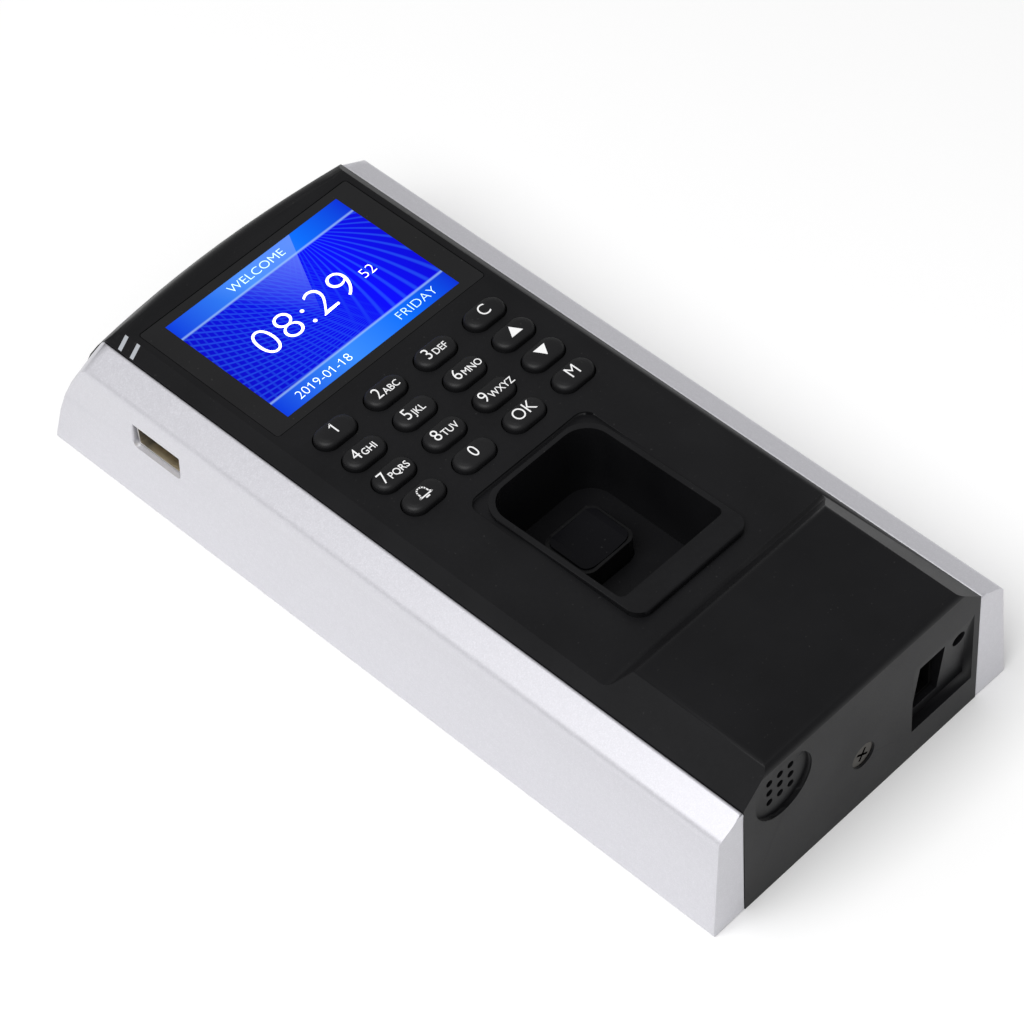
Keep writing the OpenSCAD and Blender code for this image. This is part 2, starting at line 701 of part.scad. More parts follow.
module sensor_body() color("dimgray") placed() difference() {
    union() {
        plate([0, sensor_mid_y], [sensor_w, sensor_l], 3,
              sensor_foot_h - 1.8, sensor_top - sensor_foot_h + 1.4);
        plate([0, sensor_mid_y], [25, sensor_l + 4], 1.5, sensor_foot_h - 1.8, 1.8);
        plate([0, sensor_mid_y], [sensor_w, sensor_l], 3, sensor_pcb_h, sensor_foot_h - sensor_pcb_h);
    }
    plate([0, sensor_mid_y], [sensor_w - 1.6, sensor_l - 1.6], 2.4, sensor_top - glass_t, glass_t + past);
    plate([0, sensor_mid_y], [sensor_w - 4, sensor_l - 4], 1, sensor_pcb_h - past, sensor_top - sensor_pcb_h);
    both_sides() post([10.4, sensor_mid_y], 0.9, 0, panel_h);
}

// the glass has a shallow groove across it for the fingertip
module sensor_window() color("teal") placed() difference() {
    plate([0, sensor_mid_y], [sensor_w - 1.6 - fit, sensor_l - 1.6 - fit], 2.3,
          sensor_top - glass_t, glass_t);
    translate([0, sensor_mid_y - sensor_l, sensor_top + 29.6]) rotate([-90, 0, 0])
        cylinder(r = 30, h = 2 * sensor_l, $fn = 180);
}

module sensor_board() color("green") placed()
    plate([0, sensor_mid_y - 2], [25, sensor_l + 10], 0.8, sensor_pcb_h - 1.2, 1.2);

module sensor_lens() color("black") placed() {
    block([-3, sensor_mid_y - 3, sensor_pcb_h], [3, sensor_mid_y + 3, sensor_pcb_h + 2.4]);
    post([0, sensor_mid_y], 2.4, sensor_pcb_h + 2.4, sensor_pcb_h + 5);
}

module sensor_ribbon() color("peru") placed()
    ribbon([[sensor_mid_y + 5, sensor_pcb_h - 1.35], [board_y[0] + 4, sensor_pcb_h - 1.35],
            [board_y[0] + 4, board_under - 0.15], [board_y[0] + 8, board_under - 0.15]], 0.3, 8, 0);

// ---- small parts -------------------------------------------------------------------------------

module light_pipes() color("lightgray") placed() light_slots(0);

module wall_plate() color("gainsboro") placed() difference() {
    union() {
        plate([0, (plate_y[0] + plate_y[1]) / 2], [plate_w, plate_y[1] - plate_y[0]], 2.5, 0, plate_t);
        block([-tab_w / 2, tab_y, 0], [tab_w / 2, plate_y[0] + past, plate_t]);
        block([-tab_w / 2, tab_y, 0], [tab_w / 2, tab_y + plate_t, tab_h]);
    }
    plate([0, wire_y], wire_window, 2, -past, plate_t + 2 * past);
    for (x = [-1, 1], y = [-1, 1])
        post([x * plate_holes[0] / 2, (plate_y[0] + plate_y[1] + y * plate_holes[1]) / 2],
             plate_hole_r, -past, plate_t + past);
    translate([0, tab_y - past, lock_h]) rotate([-90, 0, 0]) cylinder(r = 1.52, h = plate_t + 2 * past);
}

// a cross-shaped driver recess
module cross_slot(size, depth) {
    for (a = [0, 90]) rotate([0, 0, a]) translate([-size / 2, -0.3, -past]) cube([size, 0.6, depth + past]);
}

module lock_screw() color("black") placed() translate([0, 0.35, lock_h]) rotate([-90, 0, 0]) difference() {
    union() {
        cylinder(r1 = lock_head_r, r2 = 1.5, h = 1.5);
        cylinder(r = 1.5, h = 9);
    }
    rotate([0, 0, 30]) cross_slot(3.4, 0.9);
}

// a pan-head screw that points along +Z
module pan_screw(head_r, head_h, r, length) difference() {
    union() {
        translate([0, 0, -head_h]) cylinder(r = head_r, h = head_h);
        cylinder(r = r, h = length);
    }
    translate([0, 0, -head_h]) cross_slot(head_r * 1.2, head_h * 0.5);
}

module case_screws() color("darkgray") placed() both_sides() for (p = case_screws_at)
    translate([p[0], p[1], 2]) pan_screw(2.5, 1.6, case_screw_r - 0.02, 10);

module small_screws() color("darkgray") placed() both_sides() {
    for (p = board_screws_at)
        translate([p[0], p[1], board_top]) mirror([0, 0, 1]) pan_screw(1.8, 1.1, 0.78, 6);
    for (p = keypad_screws_at)
        translate([p[0], p[1], keyboard_top - keyboard_t]) pan_screw(1.5, 0.9, 0.78, 3.6);
    translate([carrier_screw_at[0], carrier_screw_at[1], carrier_top - carrier_t])
        pan_screw(1.6, 1, 0.78, 3.8);
    translate([10.4, sensor_mid_y, sensor_foot_h - 1.8]) pan_screw(1.5, 1, 0.78, 2.6);
}

front_housing();
rear_cover();
left_rail();
right_rail();
display_window();
display_gasket();
lcd_frame();
lcd_panel();
lcd_carrier();
lcd_ribbon();
keypad_mat();
keypad_board();
keypad_ribbon();
key(0, 0);  // key_1
key(1, 0);  // key_2
key(2, 0);  // key_3
key(3, 0);  // key_c
key(0, 1);  // key_4
key(1, 1);  // key_5
key(2, 1);  // key_6
key(3, 1);  // key_up
key(0, 2);  // key_7
key(1, 2);  // key_8
key(2, 2);  // key_9
key(3, 2);  // key_down
key(0, 3);  // key_bell
key(1, 3);  // key_0
key(2, 3);  // key_ok
key(3, 3);  // key_m
main_board();
processor_chip();
board_chips();
door_relay();
coin_cell_holder();
coin_cell();
usb_shell();
usb_tongue();
usb_contacts();
speaker_frame();
speaker_cone();
scanner_bezel();
sensor_body();
sensor_window();
sensor_board();
sensor_lens();
sensor_ribbon();
port_board();
power_socket();
connector_pins();
reset_switch();
reset_button();
tamper_switch();
tamper_plunger();
light_pipes();
wiring_headers();
wall_plate();
lock_screw();
case_screws();
small_screws();
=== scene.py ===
"""Looks of a fingerprint scanner terminal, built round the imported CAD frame.

The black shell, the silver rails, the lit display, the rubber keys with their legends, the finger
scanner, the ports and the inner electronics are each a class. Finishes are small frozen classes that
make procedural materials, and effects that several finishes share are shader node groups.
"""
from __future__ import annotations

import json
import logging
import math
from dataclasses import dataclass
from enum import Enum

import bmesh
import bpy
from mathutils import Matrix, Vector

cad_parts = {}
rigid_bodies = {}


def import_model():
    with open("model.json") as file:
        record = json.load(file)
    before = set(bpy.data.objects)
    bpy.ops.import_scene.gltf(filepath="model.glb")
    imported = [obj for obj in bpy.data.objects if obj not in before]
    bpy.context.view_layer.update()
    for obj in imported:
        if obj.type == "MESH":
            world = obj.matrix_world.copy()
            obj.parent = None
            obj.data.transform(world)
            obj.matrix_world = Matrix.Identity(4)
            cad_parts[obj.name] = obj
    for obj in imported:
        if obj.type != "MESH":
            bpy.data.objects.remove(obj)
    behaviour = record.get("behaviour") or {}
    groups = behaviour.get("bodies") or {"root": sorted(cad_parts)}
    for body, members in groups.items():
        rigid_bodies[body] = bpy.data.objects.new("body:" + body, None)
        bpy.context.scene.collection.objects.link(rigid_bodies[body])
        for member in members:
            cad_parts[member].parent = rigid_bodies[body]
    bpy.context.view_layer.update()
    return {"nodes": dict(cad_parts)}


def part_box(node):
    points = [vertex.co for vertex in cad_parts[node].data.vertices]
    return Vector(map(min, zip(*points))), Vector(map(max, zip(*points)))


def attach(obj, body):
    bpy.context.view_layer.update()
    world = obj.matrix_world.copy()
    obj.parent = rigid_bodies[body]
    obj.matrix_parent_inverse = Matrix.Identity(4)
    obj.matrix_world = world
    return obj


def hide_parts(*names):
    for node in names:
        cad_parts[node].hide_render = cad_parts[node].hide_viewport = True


log = logging.getLogger("terminal")

MM = 0.001
MAIN_BODY = "terminal"
CAP_HEIGHT = 0.72  # the height of a capital, as a part of the built-in font's size
Colour = tuple[float, float, float]
SHELL_BLACK: Colour = (0.0055, 0.0055, 0.0063)
Socket = bpy.types.NodeSocket
Piece = bpy.types.Object
Nodes = dict[str, Piece]


# ---- node helpers ----------------------------------------


class Graph:
    """A node tree with short calls for making and joining nodes."""

    def __init__(self, tree: bpy.types.NodeTree) -> None:
        """Wrap a node tree."""
        self.tree = tree

    def node(self, kind: str, values: dict | None = None, **props: object) -> bpy.types.Node:
        """Add a node.

        Args:
            kind: the node's type name.
            values: input name or index to a constant, or to an output socket to link.
            props: attributes to set on the node.

        Returns:
            The new node.
        """
        made = self.tree.nodes.new(kind)
        for name, value in props.items():
            setattr(made, name, value)
        for name, value in (values or {}).items():
            socket = made.inputs[name]
            if isinstance(value, Socket):
                self.tree.links.new(value, socket)
            else:
                socket.default_value = value
        return made

    def math(self, operation: str, a: object, b: object = 0.0, clamp: bool = False) -> Socket:
        """Add a Math node and return its output."""
        return self.node("ShaderNodeMath", {0: a, 1: b}, operation=operation, use_clamp=clamp).outputs[0]

    def ramp(self, factor: Socket, stops: list[tuple[float, Colour]]) -> Socket:
        """Add a colour ramp.

        Args:
            factor: the value to look up.
            stops: position and colour pairs, in order.

        Returns:
            The ramp's colour output.
        """
        made = self.node("ShaderNodeValToRGB", {0: factor})
        elements = made.color_ramp.elements
        while len(elements) < len(stops):
            elements.new(0.5)
        for element, (place, colour) in zip(elements, stops):
            element.position = place
            element.color = (*colour, 1.0)
        return made.outputs[0]

    def mix(self, factor: object, a: object, b: object) -> Socket:
        """Mix two colours and return the result."""
        made = self.node("ShaderNodeMix", data_type="RGBA")
        for index, value in ((0, factor), (6, a), (7, b)):
            if isinstance(value, Socket):
                self.tree.links.new(value, made.inputs[index])
            else:
                made.inputs[index].default_value = (*value, 1.0) if isinstance(value, tuple) else value
        return made.outputs[2]

    def coords(self, scale: float = 1.0, at: Vector | None = None) -> Socket:
        """Object coordinates, moved so that `at` is the origin and then scaled."""
        source = self.node("ShaderNodeTexCoord").outputs["Object"]
        shift = -(at or Vector()) * scale
        return self.node("ShaderNodeMapping", {0: source, 1: shift, 3: (scale,) * 3}).outputs[0]

    def noise(self, where: Socket, scale: float, detail: float = 2.0) -> Socket:
        """Add a noise texture and return its value."""
        values = {"Vector": where, "Scale": scale, "Detail": detail}
        return self.node("ShaderNodeTexNoise", values).outputs[0]


class Effect(Enum):
    """Shader node groups that several finishes share."""

    GRAIN = "moulded_grain"
    WEAR = "edge_wear"
    DUST = "settled_dust"


def effect_group(effect: Effect) -> bpy.types.NodeTree:
    """Find a shared shader node group, or build it the first time.

    Args:
        effect: which group.

    Returns:
        The node group.
    """
    found = bpy.data.node_groups.get(effect.value)
    if found:
        return found
    tree = bpy.data.node_groups.new(effect.value, "ShaderNodeTree")
    build = {Effect.GRAIN: build_grain, Effect.WEAR: build_wear, Effect.DUST: build_dust}
    build[effect](tree, Graph(tree))
    return tree


def group_socket(tree: bpy.types.NodeTree, name: str, way: str, kind: str, value: object = None) -> None:
    """Add a named socket to a node group's interface."""
    socket = tree.interface.new_socket(name=name, in_out=way, socket_type=f"NodeSocket{kind}")
    if value is not None:
        socket.default_value = value


def build_grain(tree: bpy.types.NodeTree, g: Graph) -> None:
    """Spark-eroded mould texture: a bump normal and a roughness that varies with it."""
    group_socket(tree, "Scale", "INPUT", "Float", 4000.0)
    group_socket(tree, "Depth", "INPUT", "Float", 0.00001)
    group_socket(tree, "Roughness", "INPUT", "Float", 0.45)
    group_socket(tree, "Variation", "INPUT", "Float", 0.08)
    group_socket(tree, "Roughness", "OUTPUT", "Float")
    group_socket(tree, "Normal", "OUTPUT", "Vector")
    entry = g.node("NodeGroupInput")
    where = g.node("ShaderNodeTexCoord").outputs["Object"]
    fine = g.noise(where, entry.outputs["Scale"], 3.0)
    broad = g.noise(where, g.math("MULTIPLY", entry.outputs["Scale"], 0.02), 2.0)
    bump = g.node("ShaderNodeBump", {"Height": fine, "Distance": entry.outputs["Depth"]})
    centred = g.math("SUBTRACT", g.math("ADD", fine, broad), 1.0)
    sway = g.math("MULTIPLY", centred, entry.outputs["Variation"])
    rough = g.math("ADD", entry.outputs["Roughness"], sway, clamp=True)
    g.node("NodeGroupOutput", {"Roughness": rough, "Normal": bump.outputs[0]})


def build_wear(tree: bpy.types.NodeTree, g: Graph) -> None:
    """Polished corners: a mask that is 1 on sharp outer edges, broken up by noise."""
    group_socket(tree, "Amount", "INPUT", "Float", 0.5)
    group_socket(tree, "Mask", "OUTPUT", "Float")
    entry = g.node("NodeGroupInput")
    sharp = g.node("ShaderNodeNewGeometry").outputs["Pointiness"]
    edge = g.node("ShaderNodeMapRange", {0: sharp, 1: 0.51, 2: 0.56}).outputs[0]
    breakup = g.noise(g.node("ShaderNodeTexCoord").outputs["Object"], 900.0, 3.0)
    mask = g.math("MULTIPLY", g.math("MULTIPLY", edge, breakup), entry.outputs["Amount"], clamp=True)
    g.node("NodeGroupOutput", {"Mask": mask})


def build_dust(tree: bpy.types.NodeTree, g: Graph) -> None:
    """Sparse specks that settle on faces that look up."""
    group_socket(tree, "Amount", "INPUT", "Float", 0.3)
    group_socket(tree, "Mask", "OUTPUT", "Float")
    entry = g.node("NodeGroupInput")
    normal = g.node("ShaderNodeNewGeometry").outputs["Normal"]
    up = g.node("ShaderNodeSeparateXYZ", {0: normal}).outputs[2]
    speck = g.noise(g.node("ShaderNodeTexCoord").outputs["Object"], 1500.0, 1.0)
    rare = g.node("ShaderNodeMapRange", {0: speck, 1: 0.74, 2: 0.8}).outputs[0]
    settled = g.math("MULTIPLY", rare, up, clamp=True)
    mask = g.math("MULTIPLY", settled, entry.outputs["Amount"], clamp=True)
    g.node("NodeGroupOutput", {"Mask": mask})


# ---- finishes --------------------------------------------


def new_material(name: str) -> tuple[bpy.types.Material, Graph, bpy.types.Node]:
    """Make an empty node material.

    Args:
        name: the material's name.

    Returns:
        The material, its graph and its Principled shader.
    """
    material = bpy.data.materials.new(name)
    material.use_nodes = True
    tree = material.node_tree
    tree.nodes.clear()
    g = Graph(tree)
    shader = g.node("ShaderNodeBsdfPrincipled")
    g.node("ShaderNodeOutputMaterial", {0: shader.outputs[0]})
    return material, g, shader


@dataclass(frozen=True)
class Moulded:
    """Moulded plastic or rubber: grain, slight colour variation, polished corners and a little dust."""

    name: str
    colour: Colour
    roughness: float = 0.45
    grain_scale: float = 3500.0
    grain_depth: float = 0.012 * MM
    variation: float = 0.1
    wear: float = 0.25
    dust: float = 0.12
    specular: float = 0.5
    coat: float = 0.0
    sheen: float = 0.0

    def build(self) -> bpy.types.Material:
        """Make the material."""
        material, g, shader = new_material(self.name)
        grain = g.node("ShaderNodeGroup", node_tree=effect_group(Effect.GRAIN))
        for name, value in (("Scale", self.grain_scale), ("Depth", self.grain_depth),
                            ("Roughness", self.roughness), ("Variation", self.variation)):
            grain.inputs[name].default_value = value
        wear = g.node("ShaderNodeGroup", {"Amount": self.wear}, node_tree=effect_group(Effect.WEAR))
        dust = g.node("ShaderNodeGroup", {"Amount": self.dust}, node_tree=effect_group(Effect.DUST))
        cloud = g.noise(g.coords(), 60.0, 4.0)
        dark = tuple(c * 0.85 for c in self.colour)
        light = tuple(c * 1.15 + 0.001 for c in self.colour)
        polished = tuple(min(1.0, c * 2.0 + 0.015) for c in self.colour)
        base = g.ramp(cloud, [(0.3, dark), (0.7, light)])
        base = g.mix(wear.outputs[0], base, polished)
        base = g.mix(dust.outputs[0], base, (0.35, 0.34, 0.33))
        links = g.tree.links
        links.new(base, shader.inputs["Base Color"])
        links.new(grain.outputs["Roughness"], shader.inputs["Roughness"])
        links.new(grain.outputs["Normal"], shader.inputs["Normal"])
        shader.inputs["Specular IOR Level"].default_value = self.specular
        shader.inputs["Coat Weight"].default_value = self.coat
        shader.inputs["Coat Roughness"].default_value = 0.08
        shader.inputs["Sheen Weight"].default_value = self.sheen
        return material


@dataclass(frozen=True)
class PearlPaint:
    """Silver paint with fine flakes under a satin lacquer."""

    name: str
    colour: Colour = (0.575, 0.57, 0.61)
    roughness: float = 0.38
    flake_scale: float = 5200.0

    def build(self) -> bpy.types.Material:
        """Make the material."""
        material, g, shader = new_material(self.name)
        where = g.coords()
        cells = g.node("ShaderNodeTexVoronoi", {"Vector": where, "Scale": self.flake_scale})
        tint = g.node("ShaderNodeSeparateColor", {0: cells.outputs["Color"]}).outputs[0]
        cloud = g.noise(where, 45.0, 3.0)
        dark = tuple(c * 0.92 for c in self.colour)
        light = tuple(min(1.0, c * 1.08) for c in self.colour)
        base = g.ramp(tint, [(0.0, dark), (0.8, self.colour), (1.0, light)])
        base = g.mix(g.math("MULTIPLY", cloud, 0.12), base, tuple(c * 0.93 for c in self.colour))
        dust = g.node("ShaderNodeGroup", {"Amount": 0.1}, node_tree=effect_group(Effect.DUST))
        base = g.mix(dust.outputs[0], base, (0.5, 0.49, 0.47))
        wear = g.node("ShaderNodeGroup", {"Amount": 0.2}, node_tree=effect_group(Effect.WEAR))
        base = g.mix(wear.outputs[0], base, (0.8, 0.8, 0.82))
        rough = g.math("ADD", g.math("MULTIPLY", tint, 0.12), self.roughness - 0.06)
        bump = g.node("ShaderNodeBump", {"Height": tint, "Distance": 0.002 * MM})
        links = g.tree.links
        links.new(base, shader.inputs["Base Color"])
        links.new(rough, shader.inputs["Roughness"])
        links.new(bump.outputs[0], shader.inputs["Normal"])
        shader.inputs["Metallic"].default_value = 0.35
        shader.inputs["Coat Weight"].default_value = 0.25
        shader.inputs["Coat Roughness"].default_value = 0.2
        return material


@dataclass(frozen=True)
class BareMetal:
    """Plated, stamped or turned metal, with fine drawn lines along one axis."""

    name: str
    colour: Colour
    roughness: float = 0.28
    line_scale: Colour = (300.0, 6000.0, 6000.0)

    def build(self) -> bpy.types.Material:
        """Make the material."""
        material, g, shader = new_material(self.name)
        source = g.node("ShaderNodeTexCoord").outputs["Object"]
        drawn = g.node("ShaderNodeMapping", {0: source, 3: self.line_scale}).outputs[0]
        lines = g.noise(drawn, 1.0, 3.0)
        stain = g.noise(source, 120.0, 4.0)
        base = g.mix(g.math("MULTIPLY", stain, 0.35), self.colour, tuple(c * 0.72 for c in self.colour))
        wear = g.node("ShaderNodeGroup", {"Amount": 0.4}, node_tree=effect_group(Effect.WEAR))
        base = g.mix(wear.outputs[0], base, tuple(min(1.0, c * 1.3) for c in self.colour))
        rough = g.math("ADD", g.math("MULTIPLY", g.math("ADD", lines, stain), 0.14), self.roughness - 0.1)
        bump = g.node("ShaderNodeBump", {"Height": lines, "Distance": 0.004 * MM})
        links = g.tree.links
        links.new(base, shader.inputs["Base Color"])
        links.new(rough, shader.inputs["Roughness"])
        links.new(bump.outputs[0], shader.inputs["Normal"])
        shader.inputs["Metallic"].default_value = 1.0
        return material


@dataclass(frozen=True)
class CircuitBoard:
    """Solder mask over copper tracks, with plated dots."""

    name: str
    mask: Colour = (0.008, 0.075, 0.028)
    track: Colour = (0.02, 0.17, 0.06)

    def build(self) -> bpy.types.Material:
        """Make the material."""
        material, g, shader = new_material(self.name)
        where = g.coords()
        grid = g.node("ShaderNodeTexBrick", {"Vector": where, "Scale": 160.0, "Mortar Size": 0.035,
                                             "Brick Width": 0.9, "Row Height": 0.22})
        tracks = grid.outputs["Fac"]
        base = g.mix(tracks, self.mask, self.track)
        dots = g.node("ShaderNodeTexVoronoi", {"Vector": where, "Scale": 260.0}).outputs["Distance"]
        via = g.node("ShaderNodeMapRange", {0: dots, 1: 0.1, 2: 0.07}).outputs[0]
        base = g.mix(via, base, (0.75, 0.55, 0.22))
        bump = g.node("ShaderNodeBump", {"Height": tracks, "Distance": 0.03 * MM})
        rough = g.math("ADD", g.math("MULTIPLY", g.noise(where, 400.0), 0.15), 0.22)
        links = g.tree.links
        links.new(base, shader.inputs["Base Color"])
        links.new(via, shader.inputs["Metallic"])
        links.new(rough, shader.inputs["Roughness"])
        links.new(bump.outputs[0], shader.inputs["Normal"])
        return material


@dataclass(frozen=True)
class Printed:
    """White or coloured ink: flat, with a slightly uneven cover."""

    name: str
    colour: Colour = (0.82, 0.82, 0.82)
    glow: float = 0.0

    def build(self) -> bpy.types.Material:
        """Make the material."""
        material, g, shader = new_material(self.name)
        cover = g.noise(g.coords(), 5000.0, 2.0)
        thin = tuple(c * 0.88 for c in self.colour)
        base = g.ramp(cover, [(0.25, thin), (0.6, self.colour)])
        rough = g.math("ADD", g.math("MULTIPLY", cover, 0.2), 0.4)
        g.tree.links.new(base, shader.inputs["Base Color"])
        g.tree.links.new(rough, shader.inputs["Roughness"])
        if self.glow:
            g.tree.links.new(base, shader.inputs["Emission Color"])
            shader.inputs["Emission Strength"].default_value = self.glow
        return material


@dataclass(frozen=True)
class LitPicture:
    """The glowing picture: a blue field crossed by fine arcs, between two brighter bars."""

    name: str
    low: Vector
    high: Vector
    glow: float = 1.0
    bar: float = 0.14
    edge: float = 0.012

    def build(self) -> bpy.types.Material:
        """Make the material."""
        material, g, shader = new_material(self.name)
        size = self.high - self.low
        source = g.node("ShaderNodeTexCoord").outputs["Object"]
        scale = (1 / size.x, 1 / size.y, 0.0)
        shift = (-self.low.x / size.x, -self.low.y / size.y, 0.0)
        local = g.node("ShaderNodeMapping", {0: source, 1: shift, 3: scale}).outputs[0]
        across, along, _ = g.node("ShaderNodeSeparateXYZ", {0: local}).outputs
        field = self.field(g, across, along)
        header = g.math("GREATER_THAN", along, 1 - self.bar)
        footer = g.math("LESS_THAN", along, self.bar)
        bars = g.math("ADD", header, footer, clamp=True)
        shade = g.ramp(across, [(0.0, (0.0, 0.045, 0.75)), (0.42, (0.04, 0.27, 1.0)),
                                (0.72, (0.0, 0.16, 1.0)), (1.0, (0.0, 0.03, 0.70))])
        base = g.mix(bars, field, shade)
        base = g.mix(self.shaft(g, across, along), base, (0.28, 0.45, 1.0))
        from_middle = g.math("ABSOLUTE", g.math("SUBTRACT", along, 0.5))
        near = g.math("ABSOLUTE", g.math("SUBTRACT", from_middle, 0.5 - self.bar))
        line = g.node("ShaderNodeMapRange", {0: near, 1: self.edge, 2: 0.0}).outputs[0]
        base = g.mix(g.math("MULTIPLY", line, 0.6), base, (0.45, 0.72, 1.0))
        links = g.tree.links
        links.new(base, shader.inputs["Emission Color"])
        shader.inputs["Base Color"].default_value = (0.002, 0.002, 0.004, 1.0)
        shader.inputs["Emission Strength"].default_value = self.glow
        shader.inputs["Specular IOR Level"].default_value = 0.05
        smear = g.math("MULTIPLY", g.noise(g.coords(), 80.0), 0.1)
        links.new(g.math("ADD", smear, 0.2), shader.inputs["Roughness"])
        return material

    def fan(self, g: Graph, parts: tuple, centre: tuple[float, float], count: float,
            swirl: float) -> Socket:
        """Fine curved lines that leave one point.

        Args:
            g: the material's graph.
            parts: the across and along coordinates.
            centre: the point that the lines leave.
            count: how many lines go all the way round.
            swirl: how much they curve with distance.

        Returns:
            A mask that is 1 on the lines.
        """
        x = g.math("SUBTRACT", parts[0], centre[0])
        y = g.math("MULTIPLY", g.math("SUBTRACT", parts[1], centre[1]), 0.75)
        angle = g.math("ARCTAN2", y, x)
        reach = g.math("SQRT", g.math("ADD", g.math("MULTIPLY", x, x), g.math("MULTIPLY", y, y)))
        phase = g.math("ADD", g.math("MULTIPLY", angle, count), g.math("MULTIPLY", reach, swirl))
        return g.node("ShaderNodeMapRange", {0: g.math("SINE", phase), 1: 0.35, 2: 1.0}).outputs[0]

    def field(self, g: Graph, across: object, along: object) -> Socket:
        """The blue field with its fans of fine lines and a pale shaft of light.

        Args:
            g: the material's graph.
            across: 0 to 1 over the picture's width.
            along: 0 to 1 over its height.

        Returns:
            The field's colour.
        """
        both = (across, along)
        base = g.ramp(across, [(0.0, (0.0, 0.0, 0.60)), (0.35, (0.0, 0.002, 0.78)),
                               (0.75, (0.0, 0.0, 1.0)), (1.0, (0.0, 0.0, 0.72))])
        right = g.node("ShaderNodeMapRange", {0: across, 1: 0.5, 2: 0.7}).outputs[0]
        left = g.math("SUBTRACT", 1.0, right)
        burst = g.math("MULTIPLY", self.fan(g, both, (0.72, 1.02), 62.0, 16.0), right)
        net = g.math("MULTIPLY", self.fan(g, both, (0.80, 0.22), 150.0, 34.0), left)
        cross = g.math("MULTIPLY", self.fan(g, both, (0.35, 2.1), 230.0, -24.0), left)
        lines = g.math("MAXIMUM", burst, g.math("MAXIMUM", net, g.math("MULTIPLY", cross, 0.6)))
        return g.mix(g.math("MULTIPLY", lines, 0.36), base, (0.03, 0.17, 1.0))

    def shaft(self, g: Graph, across: object, along: object) -> Socket:
        """A pale wedge of light that widens upwards, with one hard side and one that fades.

        Args:
            g: the material's graph.
            across: 0 to 1 over the picture's width.
            along: 0 to 1 over its height.

        Returns:
            The wedge's mask.
        """
        tip_x, tip_y, hard_side = 0.49, 0.4, 0.38
        height = g.math("MAXIMUM", g.math("SUBTRACT", along, tip_y), 0.001)
        lean = g.math("DIVIDE", g.math("SUBTRACT", across, tip_x), height)
        body = g.node("ShaderNodeMapRange", {0: lean, 1: -0.45, 2: hard_side}).outputs[0]
        inside = g.math("MULTIPLY", body, g.math("LESS_THAN", lean, hard_side))
        upper = g.node("ShaderNodeMapRange", {0: along, 1: tip_y, 2: 0.95}).outputs[0]
        return g.math("MULTIPLY", g.math("MULTIPLY", upper, inside), 0.42)


@dataclass(frozen=True)
class DarkGlass:
    """Smoked glass or acrylic with a hard gloss and faint fingerprints in its roughness."""

    name: str
    colour: Colour
    roughness: float = 0.08
    smudge: float = 0.1
    coat: float = 0.6
    specular: float = 0.5

    def build(self) -> bpy.types.Material:
        """Make the material."""
        material, g, shader = new_material(self.name)
        where = g.coords()
        smear = g.noise(where, 70.0, 5.0)
        rough = g.math("ADD", g.math("MULTIPLY", smear, self.smudge), self.roughness)
        base = g.ramp(smear, [(0.3, self.colour), (0.8, tuple(c * 1.2 + 0.001 for c in self.colour))])
        dust = g.node("ShaderNodeGroup", {"Amount": 0.06}, node_tree=effect_group(Effect.DUST))
        base = g.mix(dust.outputs[0], base, (0.3, 0.3, 0.3))
        g.tree.links.new(base, shader.inputs["Base Color"])
        g.tree.links.new(rough, shader.inputs["Roughness"])
        shader.inputs["Specular IOR Level"].default_value = self.specular
        shader.inputs["Coat Weight"].default_value = self.coat
        shader.inputs["Coat Roughness"].default_value = 0.05
        return material


# ---- mesh helpers ----------------------------------------


def link(obj: Piece, body: str = MAIN_BODY) -> Piece:
    """Put an object in the scene and let it ride on a body."""
    if obj.name not in bpy.context.scene.collection.objects:
        bpy.context.scene.collection.objects.link(obj)
    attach(obj, body)
    return obj


def dress(obj: Piece, material: bpy.types.Material) -> None:
    """Give an object one material."""
    obj.data.materials.clear()
    obj.data.materials.append(material)


def dress_all(nodes: Nodes, finishes: dict[str, bpy.types.Material]) -> None:
    """Give each named CAD node its material."""
    for node, finish in finishes.items():
        dress(nodes[node], finish)
        log.info("%s: dressed", node)


def smooth(mesh: bpy.types.Mesh, angle: float = 28.0) -> None:
    """Smooth a mesh, apart from edges sharper than the angle in degrees."""
    mesh.shade_smooth()
    mesh.set_sharp_from_angle(angle=math.radians(angle))


def add_box(bm: bmesh.types.BMesh, low: Vector, high: Vector) -> None:
    """Add a closed box between two corners."""
    made = bmesh.ops.create_cube(bm, size=1.0)
    place = Matrix.Translation((low + high) / 2) @ Matrix.Diagonal((*(high - low), 1.0))
    bmesh.ops.transform(bm, matrix=place, verts=made["verts"])


def add_slab(bm: bmesh.types.BMesh, outline: list[Vector], depth: float) -> None:
    """Add a closed slab over an outline in the XY plane, `depth` thick above and below it."""
    lower = [bm.verts.new(p - Vector((0, 0, depth))) for p in outline]
    upper = [bm.verts.new(p + Vector((0, 0, depth))) for p in outline]
    bm.faces.new(upper)
    bm.faces.new(lower[::-1])
    for i in range(len(outline)):
        j = (i + 1) % len(outline)
        bm.faces.new((lower[i], lower[j], upper[j], upper[i]))


def mesh_object(name: str, bm: bmesh.types.BMesh) -> Piece:
    """Turn a bmesh into an object at the origin."""
    bmesh.ops.recalc_face_normals(bm, faces=bm.faces)
    mesh = bpy.data.meshes.new(name)
    bm.to_mesh(mesh)
    bm.free()
    return bpy.data.objects.new(name, mesh)


